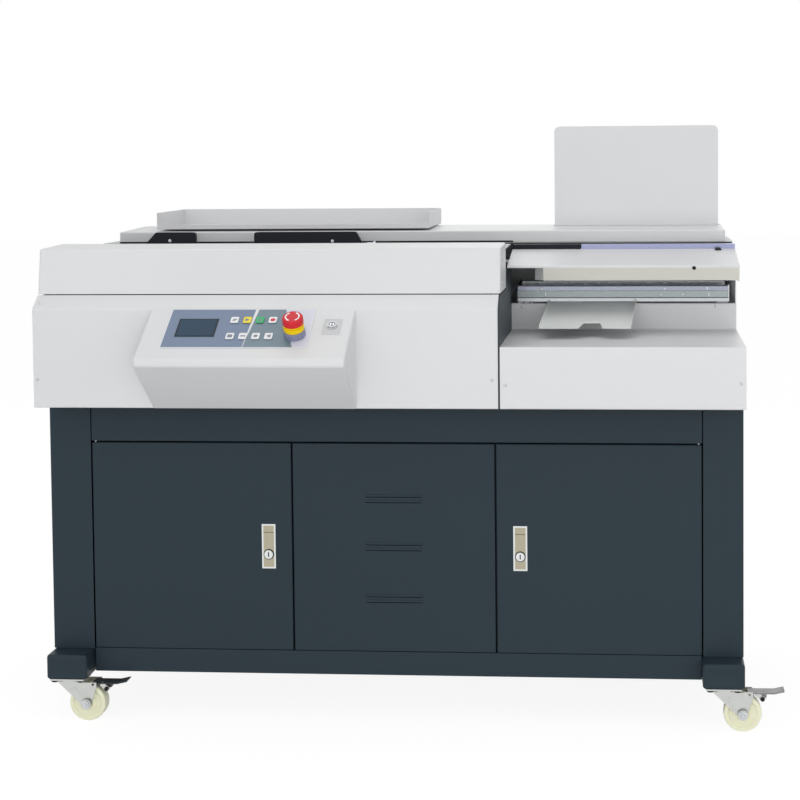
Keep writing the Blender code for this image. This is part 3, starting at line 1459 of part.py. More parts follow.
def make_gluing(grey, steel):
    """The heated glue tank on its legs, with two coupled glue rollers."""
    x = MID_X + TANK_X
    y = behind(SLOT_FRONT + SLOT_WIDTH / 2)
    roller_top = CLAMP_BOTTOM - PASS_ROOM
    axis_z = roller_top - ROLLER_RADIUS
    rim = roller_top - TANK_RIM_ROOM
    floor = rim - TANK_HEIGHT
    half_length = TANK_LENGTH / 2
    half_width = TANK_WIDTH / 2
    tank = block(
        "glue_tank", (x - half_length, y - half_width, floor), (x + half_length, y + half_width, rim)
    )
    hollow = block(
        "tank_hollow",
        (x - half_length + TANK_WALL, y - half_width + TANK_WALL, floor + TANK_WALL),
        (x + half_length - TANK_WALL, y + half_width - TANK_WALL, rim + OVERRUN),
    )
    cut(tank, hollow)
    for index, (sx, sy) in enumerate(((-1, -1), (-1, 1), (1, -1), (1, 1))):
        corner_x = x + sx * (half_length - TANK_LEG / 2)
        corner_y = y + sy * (half_width - TANK_LEG / 2)
        leg = block(
            f"tank_leg_{index}",
            (corner_x - TANK_LEG / 2, corner_y - TANK_LEG / 2, BODY_FLOOR),
            (corner_x + TANK_LEG / 2, corner_y + TANK_LEG / 2, floor + OVERLAP),
        )
        weld(tank, leg)
    for index, sign in enumerate((-1, 1)):
        axis_x = x + sign * ROLLER_PITCH / 2
        bore = cylinder(
            f"roller_bore_{index}",
            (axis_x, y - half_width - OVERRUN, axis_z),
            ROLLER_SHAFT_RADIUS + RUNNING_CLEARANCE,
            TANK_WIDTH + 2 * OVERRUN,
            "Y",
            SMALL_ROUND,
        )
        cut(tank, bore)
        name = ("glue_roller_first", "glue_roller_second")[index]
        drum = cylinder(
            name, (axis_x, y - ROLLER_LENGTH / 2, axis_z), ROLLER_RADIUS, ROLLER_LENGTH, "Y"
        )
        shaft = cylinder(
            name + "_shaft",
            (axis_x, y - ROLLER_SHAFT_LENGTH / 2, axis_z),
            ROLLER_SHAFT_RADIUS,
            ROLLER_SHAFT_LENGTH,
            "Y",
            SMALL_ROUND,
        )
        painted(weld(drum, shaft), steel)
    painted(tank, grey)


def make_nipping(steel, grey, chute_grey):
    """The nipping table with its rear jaw, the moving front jaw, and the delivery chute."""
    left = SPLIT_X + MID_PLATE + NIP_MARGIN
    right = RIGHT_X - SHEET - NIP_MARGIN
    front = behind(LEDGE_BACK + RECESS_FLANGE + NIP_FRONT_INSET)
    rear = front + NIP_DEPTH
    table_low = NIP_TABLE_TOP - NIP_TABLE_SHEET
    table = block("nip_table", (left, front, table_low), (right, rear, NIP_TABLE_TOP))
    rear_jaw = block(
        "nip_rear_jaw",
        (left + NIP_INSET, rear - NIP_REAR_JAW, NIP_TABLE_TOP - OVERLAP),
        (right - NIP_INSET, rear - NIP_INSET, NIP_JAW_TOP),
    )
    weld(table, rear_jaw)
    leg_places = [
        (leg_x, leg_y)
        for leg_x in (left + NIP_INSET, right - NIP_INSET - NIP_LEG)
        for leg_y in (front + NIP_INSET, rear - 2 * NIP_INSET - NIP_LEG)
    ]
    for index, (leg_x, leg_y) in enumerate(leg_places):
        leg = block(
            f"nip_leg_{index}",
            (leg_x, leg_y, BODY_FLOOR),
            (leg_x + NIP_LEG, leg_y + NIP_LEG, table_low + OVERLAP),
        )
        weld(table, leg)
    painted(table, steel)
    jaw_low = NIP_TABLE_TOP + GAP
    jaw_outline = [
        (front, jaw_low),
        (front + NIP_FRONT_JAW, jaw_low),
        (front + NIP_FRONT_JAW, NIP_JAW_TOP),
        (front + NIP_FRONT_STEP, NIP_JAW_TOP),
        (front, NIP_JAW_TOP - NIP_FRONT_STEP),
    ]
    painted(slab("nip_jaw", jaw_outline, "X", left, right), steel)

    chute_left = MID_X + CHUTE_LEFT
    chute_right = chute_left + CHUTE_WIDTH
    hook = behind(LEDGE_BACK)
    base = RECESS_TOP + GAP
    chute_path = [
        (hook + CHUTE_HOOK, base),
        (hook, base),
        (hook - CHUTE_REACH, base - CHUTE_DROP),
    ]
    chute = folded("chute", chute_path, "X", chute_left, chute_right, CHUTE_SHEET, -1)
    notch_middle = (chute_left + chute_right) / 2
    notch_front = hook - CHUTE_REACH
    notch_outline = [
        (notch_middle - CHUTE_NOTCH_WIDTH / 2, notch_front - OVERRUN),
        (notch_middle + CHUTE_NOTCH_WIDTH / 2, notch_front - OVERRUN),
        (notch_middle + CHUTE_NOTCH_WIDTH / 2 - CHUTE_NOTCH_SLANT, notch_front + CHUTE_NOTCH_DEPTH),
        (notch_middle - CHUTE_NOTCH_WIDTH / 2 + CHUTE_NOTCH_SLANT, notch_front + CHUTE_NOTCH_DEPTH),
    ]
    notch = slab("chute_notch", notch_outline, "Z", LEDGE_TOP + OVERRUN, base + OVERRUN)
    cut(chute, notch)
    drop = CHUTE_DROP / CHUTE_REACH
    for index, x in enumerate((chute_left, chute_right - CHUTE_SHEET)):
        flange_outline = [
            (hook - GAP, base - drop * GAP),
            (hook - CHUTE_REACH, base - CHUTE_DROP),
            (hook - CHUTE_REACH, base - CHUTE_DROP + CHUTE_FLANGE),
            (hook - GAP, base + CHUTE_FLANGE),
        ]
        weld(chute, slab(f"chute_flange_{index}", flange_outline, "X", x, x + CHUTE_SHEET))
    painted(chute, chute_grey)


def build():
    for obj in list(bpy.data.objects):
        bpy.data.objects.remove(obj)
    scene = bpy.context.scene.collection
    scene.children.link(MODEL)
    scene.children.link(CUTTERS)

    slate = finish("slate_paint", (0.046, 0.062, 0.073), 0.45, 0)
    pale = finish("pale_paint", (0.70, 0.71, 0.72), 0.42, 0)
    shade = finish("grey_paint", (0.30, 0.31, 0.33), 0.45, 0)
    steel = finish("bright_steel", (0.62, 0.64, 0.66), 0.30, 1)
    dark_steel = finish("dark_plate", (0.16, 0.17, 0.18), 0.50, 0.4)
    zinc = finish("zinc_plate", (0.60, 0.62, 0.60), 0.35, 1)
    nickel = finish("satin_nickel", (0.66, 0.64, 0.57), 0.30, 1)
    nylon = finish("ivory_nylon", (0.76, 0.77, 0.60), 0.45, 0)
    black = finish("black_plate", (0.020, 0.021, 0.023), 0.40, 0)
    blue = finish("keypad_blue", (0.22, 0.26, 0.42), 0.35, 0)
    red = finish("stop_red", (0.68, 0.05, 0.04), 0.30, 0)
    yellow = finish("collar_yellow", (0.80, 0.62, 0.04), 0.35, 0)
    chute_grey = finish("chute_grey", (0.50, 0.54, 0.52), 0.45, 0)
    grey = finish("unit_grey", (0.33, 0.35, 0.37), 0.50, 0)
    drab = finish("bin_grey", (0.22, 0.23, 0.24), 0.60, 0)
    white = finish("key_white", (0.82, 0.83, 0.85), 0.35, 0)
    green = finish("key_green", (0.10, 0.45, 0.12), 0.35, 0)
    amber = finish("key_yellow", (0.80, 0.66, 0.08), 0.35, 0)

    for side, label in ((-1, "left"), (1, "right")):
        make_foot(side, "foot_" + label, slate)
        for end, place in zip(("front", "rear"), caster_places(side)):
            make_fork(f"caster_fork_{end}_{label}", place, end == "front", zinc)
            make_wheel(f"caster_wheel_{end}_{label}", place, nylon)
        make_pedal(f"caster_pedal_{label}", caster_places(side)[0], dark_steel)
    make_cabinet(slate)
    make_door("door_left", 0, True, slate, nickel)
    make_door("door_right", 2, False, slate, nickel)
    make_centre_panel(slate)
    make_inside_units(grey, drab, zinc)
    make_body_covers(pale, shade, dark_steel)
    make_front_covers(pale)
    make_tray_and_fence(pale)
    key_finishes = (white, amber, green, white, white, white, white, white)
    make_control_box(pale, blue, red, yellow, nickel, key_finishes)
    make_clamp(black, steel)
    make_milling(steel, grey)
    make_gluing(grey, steel)
    make_nipping(steel, grey, chute_grey)


build()
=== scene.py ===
import math

import bmesh
import bpy
from mathutils import Matrix, Vector


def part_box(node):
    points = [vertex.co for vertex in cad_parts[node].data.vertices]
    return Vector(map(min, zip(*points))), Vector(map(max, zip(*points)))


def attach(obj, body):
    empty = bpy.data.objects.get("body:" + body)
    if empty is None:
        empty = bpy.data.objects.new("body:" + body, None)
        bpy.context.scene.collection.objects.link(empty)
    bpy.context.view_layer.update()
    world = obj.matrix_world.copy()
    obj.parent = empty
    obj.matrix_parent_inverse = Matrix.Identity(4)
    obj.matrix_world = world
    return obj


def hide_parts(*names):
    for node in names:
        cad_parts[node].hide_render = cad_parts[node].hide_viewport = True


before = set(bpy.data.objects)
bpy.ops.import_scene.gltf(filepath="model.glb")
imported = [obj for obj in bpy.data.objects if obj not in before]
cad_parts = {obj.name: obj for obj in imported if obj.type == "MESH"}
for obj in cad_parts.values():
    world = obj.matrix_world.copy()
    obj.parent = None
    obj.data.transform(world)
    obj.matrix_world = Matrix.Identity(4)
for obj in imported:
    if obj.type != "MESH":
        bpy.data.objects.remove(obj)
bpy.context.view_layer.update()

# The studio: a pale floor, an even white surround and large soft lamps, with the camera
# right of the middle and a little above the deck, turned and shifted slightly to the left.
CAMERA_PLACE = (0.4456, -3.7143, 1.1399)
CAMERA_TURN = math.radians(4.452)
CAMERA_TILT = math.radians(3.119)
CAMERA_ROLL = math.radians(-0.446)
CAMERA_LENS = 80.446
CAMERA_SHIFT = (-0.12, -0.19)
FLOOR_SIZE = 40.0
FLOOR_WHITE = (0.94, 0.94, 0.94)
FLOOR_GLOW_SHARE = 0.82
FLOOR_GLOW = 1.10
SURROUND_GLOW = 0.48
LAMPS = (
    ("lamp_facing", (0.5, -4.4, 0.8), (0.0, 0.0, 0.75), 2.6, 68),
    ("lamp_front_left", (-2.4, -3.2, 2.6), (0.0, 0.0, 0.7), 2.4, 13),
    ("lamp_front_right", (3.0, -2.6, 1.5), (0.1, 0.0, 0.5), 2.0, 10),
    ("lamp_above", (0.0, -0.4, 3.4), (0.0, 0.0, 0.8), 2.6, 22),
    ("lamp_behind", (0.6, 3.4, 2.2), (0.0, 0.0, 0.8), 2.4, 10),
)


def seen_directly(nodes, links):
    """A value that is 1 for camera, glossy and transmission rays, and 0 for the rest."""
    path = nodes.new("ShaderNodeLightPath")
    first = nodes.new("ShaderNodeMath")
    first.operation = "MAXIMUM"
    second = nodes.new("ShaderNodeMath")
    second.operation = "MAXIMUM"
    links.new(path.outputs["Is Camera Ray"], first.inputs[0])
    links.new(path.outputs["Is Glossy Ray"], first.inputs[1])
    links.new(first.outputs[0], second.inputs[0])
    links.new(path.outputs["Is Transmission Ray"], second.inputs[1])
    return second.outputs[0]


world = bpy.data.worlds.new("surround")
bpy.context.scene.world = world
world.use_nodes = True
world_nodes = world.node_tree.nodes
world_links = world.node_tree.links
world_nodes.clear()
lighting = world_nodes.new("ShaderNodeBackground")
lighting.inputs["Color"].default_value = (1, 1, 1, 1)
lighting.inputs["Strength"].default_value = SURROUND_GLOW
white = world_nodes.new("ShaderNodeBackground")
white.inputs["Color"].default_value = (1, 1, 1, 1)
white.inputs["Strength"].default_value = 1
both = world_nodes.new("ShaderNodeMixShader")
result = world_nodes.new("ShaderNodeOutputWorld")
world_links.new(seen_directly(world_nodes, world_links), both.inputs["Fac"])
world_links.new(lighting.outputs[0], both.inputs[1])
world_links.new(white.outputs[0], both.inputs[2])
world_links.new(both.outputs[0], result.inputs["Surface"])

bpy.ops.mesh.primitive_plane_add(size=FLOOR_SIZE)
floor = bpy.context.object
floor.name = "studio_floor"
floor_paint = bpy.data.materials.new("studio_floor_white")
floor_paint.use_nodes = True
floor_nodes = floor_paint.node_tree.nodes
floor_links = floor_paint.node_tree.links
floor_shader = floor_nodes["Principled BSDF"]
floor_shader.inputs["Base Color"].default_value = (*FLOOR_WHITE, 1)
floor_shader.inputs["Roughness"].default_value = 0.9
glow = floor_nodes.new("ShaderNodeEmission")
glow.inputs["Strength"].default_value = FLOOR_GLOW
floor_mix = floor_nodes.new("ShaderNodeMixShader")
share = floor_nodes.new("ShaderNodeMath")
share.operation = "MULTIPLY"
share.inputs[1].default_value = FLOOR_GLOW_SHARE
floor_links.new(seen_directly(floor_nodes, floor_links), share.inputs[0])
floor_links.new(share.outputs[0], floor_mix.inputs["Fac"])
floor_links.new(floor_shader.outputs[0], floor_mix.inputs[1])
floor_links.new(glow.outputs[0], floor_mix.inputs[2])
floor_links.new(floor_mix.outputs[0], floor_nodes["Material Output"].inputs["Surface"])
floor.data.materials.append(floor_paint)

for lamp_name, lamp_place, lamp_aim, lamp_size, lamp_power in LAMPS:
    bpy.ops.object.light_add(type="AREA", location=lamp_place)
    lamp = bpy.context.object
    lamp.name = lamp_name
    lamp.data.size = lamp_size
    lamp.data.energy = lamp_power
    lamp.visible_glossy = lamp_name != "lamp_facing"
    towards_aim = Vector(lamp_aim) - Vector(lamp_place)
    lamp.rotation_euler = towards_aim.to_track_quat("-Z", "Y").to_euler()

bpy.ops.object.camera_add(location=CAMERA_PLACE)
camera = bpy.context.object
camera.name = "camera"
turn = Matrix.Rotation(CAMERA_TURN, 4, "Z")
tilt = Matrix.Rotation(math.pi / 2 - CAMERA_TILT, 4, "X")
roll = Matrix.Rotation(CAMERA_ROLL, 4, "Z")
camera.rotation_euler = (turn @ tilt @ roll).to_euler()
camera.data.lens = CAMERA_LENS
camera.data.sensor_width = 36
camera.data.shift_x = CAMERA_SHIFT[0]
camera.data.shift_y = CAMERA_SHIFT[1]
bpy.context.scene.camera = camera
bpy.context.scene.view_settings.view_transform = "Standard"


# The two sled feet: square steel tubes with capped ends, welded under the cabinet's posts.
# A caster plate is welded under each end and held by four black nuts on its studs.
FOOT_PLATE_SHEET = 0.003
FOOT_EDGE = 0.006
FOOT_CAP_MARGIN = 0.0045
FOOT_CAP_DEPTH = 0.0006
CASTER_SETBACK = 0.031
CASTER_PLATE_HALF = (0.035, 0.030)
PLATE_NUT_RADIUS = 0.0070
PLATE_NUT_HEIGHT = 0.0033
PLATE_NUT_PLACES = ((-0.0265, -0.0225), (0.0265, -0.0225), (-0.0265, 0.0225), (0.0265, 0.0225))
SLATE = (0.0235, 0.0375, 0.0490)
SLATE_ROUGHNESS = 0.42
BLACK_AND_SHADE = (0.010, 0.012, 0.017)
DULL = 0.18
ZINC = (0.60, 0.61, 0.59)


def set_out(name):
    """A new material with its nodes, its links and its Principled shader."""
    made = bpy.data.materials.new(name)
    made.use_nodes = True
    nodes = made.node_tree.nodes
    return made, nodes, made.node_tree.links, nodes["Principled BSDF"]


def object_noise(nodes, links, scale, detail=2.0, stretch=(1, 1, 1)):
    """A noise on the object's own coordinates, stretched along its axes."""
    coordinates = nodes.new("ShaderNodeTexCoord")
    mapping = nodes.new("ShaderNodeMapping")
    mapping.inputs["Scale"].default_value = stretch
    noise = nodes.new("ShaderNodeTexNoise")
    noise.inputs["Scale"].default_value = scale
    noise.inputs["Detail"].default_value = detail
    links.new(coordinates.outputs["Object"], mapping.inputs["Vector"])
    links.new(mapping.outputs["Vector"], noise.inputs["Vector"])
    return noise


def blend_colours(nodes, links, factor, first, second):
    """A colour between two, by a factor."""
    mix = nodes.new("ShaderNodeMix")
    mix.data_type = "RGBA"
    mix.inputs[6].default_value = (*first, 1)
    mix.inputs[7].default_value = (*second, 1)
    links.new(factor, mix.inputs["Factor"])
    return mix.outputs[2]


def between(nodes, links, value, low, high):
    """A noise's middle range spread from low to high."""
    spread = nodes.new("ShaderNodeMapRange")
    spread.inputs["From Min"].default_value = 0.3
    spread.inputs["From Max"].default_value = 0.7
    spread.inputs["To Min"].default_value = low
    spread.inputs["To Max"].default_value = high
    links.new(value, spread.inputs["Value"])
    return spread.outputs["Result"]


def raised(nodes, links, shader, height, strength, distance):
    """A bump from a height, onto the shader."""
    bump = nodes.new("ShaderNodeBump")
    bump.inputs["Strength"].default_value = strength
    bump.inputs["Distance"].default_value = distance
    links.new(height, bump.inputs["Height"])
    links.new(bump.outputs["Normal"], shader.inputs["Normal"])


def powder_coat(name, colour, roughness, drift=0.035, grain=0.10, shine=0.5):
    """Baked powder coat: a fine orange peel, a faint drift of tone and a little uneven gloss."""
    made, nodes, links, shader = set_out(name)
    broad = object_noise(nodes, links, 2.6, 3.0)
    dark = [value * (1 - drift) for value in colour]
    light = [value * (1 + drift) for value in colour]
    tone = blend_colours(nodes, links, broad.outputs["Fac"], dark, light)
    links.new(tone, shader.inputs["Base Color"])
    gloss = object_noise(nodes, links, 38.0, 2.0)
    uneven = between(nodes, links, gloss.outputs["Fac"], roughness - 0.04, roughness + 0.05)
    links.new(uneven, shader.inputs["Roughness"])
    shader.inputs["Specular IOR Level"].default_value = shine
    peel = object_noise(nodes, links, 900.0, 2.0)
    raised(nodes, links, shader, peel.outputs["Fac"], grain, 0.0002)
    return made


def plated(name, colour, roughness, mottle=0.10, scale=55.0):
    """Plated steel: a faint cloudiness in its tone and its gloss."""
    made, nodes, links, shader = set_out(name)
    shader.inputs["Metallic"].default_value = 1.0
    cloud = object_noise(nodes, links, scale, 3.0)
    dark = [value * (1 - mottle) for value in colour]
    light = [min(value * (1 + mottle), 1) for value in colour]
    tone = blend_colours(nodes, links, cloud.outputs["Fac"], dark, light)
    links.new(tone, shader.inputs["Base Color"])
    uneven = between(nodes, links, cloud.outputs["Fac"], roughness - 0.05, roughness + 0.07)
    links.new(uneven, shader.inputs["Roughness"])
    return made


def start_clean():
    """Back to object mode, with nothing selected."""
    if bpy.context.mode != "OBJECT":
        bpy.ops.object.mode_set(mode="OBJECT")
    bpy.ops.object.select_all(action="DESELECT")


def only(piece):
    """Selects one object alone and makes it active."""
    start_clean()
    piece.select_set(True)
    bpy.context.view_layer.objects.active = piece
    return piece


def pick(piece, kind, test):
    """In edit mode, selects the vertices, edges or faces that pass a test."""
    bpy.ops.mesh.select_mode(type=kind)
    bpy.ops.mesh.select_all(action="DESELECT")
    form = bmesh.from_edit_mesh(piece.data)
    elements = {"VERT": form.verts, "EDGE": form.edges, "FACE": form.faces}[kind]
    for element in elements:
        element.select = bool(test(element))
    form.select_flush_mode()
    bmesh.update_edit_mesh(piece.data)


def settled(piece, name):
    """Names a piece, puts its place into its mesh and smooths it between its sharp edges."""
    only(piece)
    piece.name = name
    piece.data.name = name
    bpy.ops.object.transform_apply(location=True, rotation=True, scale=True)
    bpy.ops.object.shade_smooth_by_angle(angle=math.radians(32))
    weighting = piece.modifiers.new("flat_faces", "WEIGHTED_NORMAL")
    weighting.keep_sharp = True
    bpy.ops.object.modifier_apply(modifier=weighting.name)
    return piece


def plain_cube(low, high):
    """A cube between two corners, with its place in its mesh."""
    start_clean()
    low, high = Vector(low), Vector(high)
    bpy.ops.mesh.primitive_cube_add(size=1, location=(low + high) / 2)
    piece = bpy.context.object
    piece.scale = high - low
    bpy.ops.object.transform_apply(location=True, rotation=True, scale=True)
    return piece


def rounded_box(name, low, high, edge, segments=3):
    """A cube whose edges are all rounded."""
    piece = plain_cube(low, high)
    bpy.ops.object.mode_set(mode="EDIT")
    bpy.ops.mesh.select_all(action="SELECT")
    bpy.ops.mesh.bevel(offset=edge, segments=segments, affect="EDGES")
    return settled(piece, name)


def merged(name, pieces):
    """Several pieces joined into one object."""
    only(pieces[0])
    for piece in pieces[1:]:
        piece.select_set(True)
    bpy.ops.object.join()
    joined = bpy.context.object
    joined.name = name
    joined.data.name = name
    return joined


def turned(name, profile, place, direction=(0, 0, 1), sides=48, hollow=False):
    """A turned shape: rings of (radius, height) extruded one from the other along a direction."""
    start_clean()
    radius, height = profile[0]
    bpy.ops.mesh.primitive_circle_add(vertices=sides, radius=radius, location=(0, 0, height))
    piece = bpy.context.object
    bpy.ops.object.transform_apply(location=True, rotation=True, scale=True)
    bpy.ops.object.mode_set(mode="EDIT")
    bpy.ops.mesh.select_all(action="SELECT")
    if not hollow:
        bpy.ops.mesh.edge_face_add()
        bpy.ops.mesh.select_mode(type="EDGE")
        pick(piece, "EDGE", lambda edge: True)
    for next_radius, next_height in profile[1:]:
        step = (0, 0, next_height - height)
        bpy.ops.mesh.extrude_edges_move(TRANSFORM_OT_translate={"value": step})
        grow = next_radius / radius
        centre = (0, 0, next_height)
        bpy.ops.transform.resize(value=(grow, grow, 1), center_override=centre)
        radius, height = next_radius, next_height
    if hollow:
        first_height, first_radius = profile[0][1], profile[0][0]

        def on_end(edge):
            ends = [vert.co for vert in edge.verts]
            for end_radius, end_height in ((first_radius, first_height), (radius, height)):
                if all(
                    abs(co.z - end_height) < 1e-5
                    and abs(math.hypot(co.x, co.y) - end_radius) < 1e-5
                    for co in ends
                ):
                    return True
            return False

        pick(piece, "EDGE", on_end)
        bpy.ops.mesh.bridge_edge_loops()
    else:
        bpy.ops.mesh.edge_face_add()
    bpy.ops.mesh.select_all(action="SELECT")
    bpy.ops.mesh.normals_make_consistent(inside=False)
    bpy.ops.object.mode_set(mode="OBJECT")
    upright = Vector((0, 0, 1)).rotation_difference(Vector(direction))
    piece.data.transform(Matrix.Translation(place) @ upright.to_matrix().to_4x4())
    return settled(piece, name)


def rod(name, start, end, radius, edge=0.0004, sides=32):
    """A round bar from one point to another with its ends broken."""
    start, end = Vector(start), Vector(end)
    length = (end - start).length
    profile = [(radius - edge, 0), (radius, edge), (radius, length - edge), (radius - edge, length)]
    return turned(name, profile, start, end - start, sides)


def copied(pattern, name, matrix):
    """A copy of a piece with its own mesh, placed by a matrix."""
    piece = pattern.copy()
    piece.data = pattern.data.copy()
    piece.data.transform(matrix)
    piece.name = name
    piece.data.name = name
    bpy.context.scene.collection.objects.link(piece)
    return piece


def dressed(piece, material):
    """One material all over."""
    piece.data.materials.clear()
    piece.data.materials.append(material)
    return piece


def fit(piece, body, slot, *nodes):
    """The piece rides on a body and stands for CAD nodes, which are hidden; its slot is not used.
    """
    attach(piece, body)
    if nodes:
        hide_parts(*nodes)
    return piece


slate = powder_coat("slate_powder_coat", SLATE, SLATE_ROUGHNESS, shine=DULL)
zinc = plated("zinc_plating", ZINC, 0.34)
black_steel_and_shade = powder_coat("black_steel_and_shade", BLACK_AND_SHADE, 0.38, 0.05, 0.05, DULL)
plate_nut = turned(
    "plate_nut",
    [
        (PLATE_NUT_RADIUS * 0.9, -PLATE_NUT_HEIGHT),
        (PLATE_NUT_RADIUS, -PLATE_NUT_HEIGHT * 0.85),
        (PLATE_NUT_RADIUS, 0),
    ],
    (0, 0, 0),
    sides=6,
)
dressed(plate_nut, black_steel_and_shade)
caster_places = {}
for side in ("left", "right"):
    low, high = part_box(f"foot_{side}")
    tube_low = Vector((low.x, low.y, low.z + FOOT_PLATE_SHEET))
    tube = rounded_box(f"foot_{side}_tube", tube_low, high, FOOT_EDGE, 4)
    only(tube)
    bpy.ops.object.mode_set(mode="EDIT")
    pick(tube, "FACE", lambda face: abs(face.normal.y) > 0.99)
    bpy.ops.mesh.inset(thickness=FOOT_CAP_MARGIN, use_individual=True)
    bpy.ops.mesh.inset(thickness=FOOT_CAP_DEPTH, depth=-FOOT_CAP_DEPTH, use_individual=True)
    bpy.ops.object.mode_set(mode="OBJECT")
    dressed(tube, slate)
    fit(tube, "root", "slate_paint", f"foot_{side}")
    middle = (low.x + high.x) / 2
    ends = {"front": low.y + CASTER_SETBACK, "rear": high.y - CASTER_SETBACK}
    for end, y in ends.items():
        caster_places[end, side] = Vector((middle, y, low.z))
        half_x, half_y = CASTER_PLATE_HALF
        plate = rounded_box(
            f"caster_plate_{end}_{side}",
            (middle - half_x, y - half_y, low.z),
            (middle + half_x, y + half_y, tube_low.z + FOOT_EDGE / 8),
            0.0012,
            2,
        )
        dressed(plate, zinc)
        fit(plate, "root", "zinc_plate")
        nuts = [
            copied(plate_nut, f"nut_{index}", Matrix.Translation((middle + x, y + offset, low.z)))
            for index, (x, offset) in enumerate(PLATE_NUT_PLACES)
        ]
        fit(merged(f"caster_nuts_{end}_{side}", nuts), "root", "black_plate")
bpy.data.objects.remove(plate_nut)


# The swivel casters: zinc-plated pressed forks with a ball race and a pressed rib on each
# cheek, solid ivory nylon wheels on plain axles, and brake pedals on the two front ones.
WHEEL_RADIUS = 0.037
WHEEL_HALF = 0.015
WHEEL_BORE = 0.0048
WHEEL_HUB = 0.0125
WHEEL_RIM = 0.0285
WHEEL_DISH = 0.0025
WHEEL_CROWN = 0.0030
CASTER_TRAIL = 0.037
CHEEK_OUTER = 0.0208
RIB_HALF_LENGTH = 0.0155
RIB_HALF_WIDTH = 0.0042
RIB_PROUD = 0.0011
RIB_PLACE = (0.019, 0.0565)
RIB_SLANT = math.radians(-38)
AXLE_NUT_RADIUS = 0.0078
AXLE_NUT_HEIGHT = 0.0062
WASHER_RADIUS = 0.0102
WASHER_SHEET = 0.0012
STEEL = (0.62, 0.64, 0.66)
NYLON = (0.88, 0.88, 0.66)
DARK_PEDAL = (0.040, 0.047, 0.053)
PEDAL_STEEL = (0.26, 0.265, 0.26)
STRUT_TOP = (0.0640, 0.0760)
STRUT_FOOT = (0.0755, 0.0655)
STRUT_HALF = 0.0050
STRUT_SIDE = (-0.0120, -0.0090)
STRUT_NUT = 0.0046
STRUT_NUT_STANDS = 0.004
STRUT_NUT_SINKS = 0.001
AXLE_END_GAP = 0.0055


def moulded(name, colour, roughness, drift=0.02, soft=0.0, shine=0.5):
    """Moulded plastic: a faint grain and an even tone."""
    made, nodes, links, shader = set_out(name)
    broad = object_noise(nodes, links, 30.0, 2.0)
    dark = [value * (1 - drift) for value in colour]
    light = [min(value * (1 + drift), 1) for value in colour]
    tone = blend_colours(nodes, links, broad.outputs["Fac"], dark, light)
    links.new(tone, shader.inputs["Base Color"])
    shader.inputs["Roughness"].default_value = roughness
    shader.inputs["Specular IOR Level"].default_value = shine
    shader.inputs["Subsurface Weight"].default_value = soft
    shader.inputs["Subsurface Radius"].default_value = (0.006, 0.005, 0.003)
    grain = object_noise(nodes, links, 1500.0, 1.0)
    raised(nodes, links, shader, grain.outputs["Fac"], 0.05, 0.0001)
    return made


bright_steel = plated("bright_steel", STEEL, 0.26, 0.06, 120.0)
nylon = moulded("ivory_nylon", NYLON, 0.42, 0.04, 0.25)
pedal_paint = powder_coat("dark_pedal_steel", DARK_PEDAL, 0.36, shine=DULL)
pedal_steel = plated("pale_pedal_steel", PEDAL_STEEL, 0.42)


def eased(node, name, edge, segments=2, sharp=30, corners=None, radius=0.0):
    """A copy of a CAD node with its doubles merged, its flats cleaned and its edges rounded."""
    start_clean()
    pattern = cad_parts[node]
    piece = bpy.data.objects.new(name, pattern.data.copy())
    bpy.context.scene.collection.objects.link(piece)
    only(piece)
    bpy.ops.object.mode_set(mode="EDIT")
    bpy.ops.mesh.select_all(action="SELECT")
    bpy.ops.mesh.remove_doubles(threshold=0.00002)
    bpy.ops.mesh.dissolve_limited(angle_limit=math.radians(0.6))
    if corners:
        pick(piece, "EDGE", corners)
        bpy.ops.mesh.bevel(offset=radius, segments=6, affect="EDGES")
    bpy.ops.object.mode_set(mode="OBJECT")
    rounding = piece.modifiers.new("rounding", "BEVEL")
    rounding.width = edge
    rounding.segments = segments
    rounding.limit_method = "ANGLE"
    rounding.angle_limit = math.radians(sharp)
    rounding.use_clamp_overlap = True
    bpy.ops.object.modifier_apply(modifier=rounding.name)
    return settled(piece, name)


wheel_half_profile = [
    (WHEEL_BORE, WHEEL_HALF),
    (WHEEL_HUB - 0.0006, WHEEL_HALF),
    (WHEEL_HUB, WHEEL_HALF - 0.0006),
    (WHEEL_HUB + WHEEL_DISH, WHEEL_HALF - WHEEL_DISH),
    (WHEEL_RIM - WHEEL_DISH, WHEEL_HALF - WHEEL_DISH),
    (WHEEL_RIM, WHEEL_HALF - 0.0006),
    (WHEEL_RIM + 0.0008, WHEEL_HALF),
    (WHEEL_RADIUS - WHEEL_CROWN, WHEEL_HALF),
    (WHEEL_RADIUS - WHEEL_CROWN * 0.35, WHEEL_HALF - WHEEL_CROWN * 0.35),
    (WHEEL_RADIUS, WHEEL_HALF - WHEEL_CROWN * 1.3),
    (WHEEL_RADIUS, 0.0),
]
wheel_profile = wheel_half_profile + [
    (radius, -height) for radius, height in reversed(wheel_half_profile[:-1])
]
wheel_pattern = turned("wheel_pattern", wheel_profile, (0, 0, 0), (0, 1, 0), 64, hollow=True)
dressed(wheel_pattern, nylon)
rib_pattern = rounded_box(
    "rib_pattern",
    (-RIB_HALF_WIDTH, -RIB_PROUD, -RIB_HALF_LENGTH),
    (RIB_HALF_WIDTH, RIB_PROUD, RIB_HALF_LENGTH),
    RIB_PROUD * 0.9,
    4,
)
dressed(rib_pattern, zinc)
washer_pattern = turned(
    "washer_pattern",
    [(WASHER_RADIUS - 0.0003, 0), (WASHER_RADIUS, 0.0003), (WASHER_RADIUS, WASHER_SHEET)]
    + [(WASHER_RADIUS - 0.0003, WASHER_SHEET)],
    (0, 0, 0),
    (0, -1, 0),
)
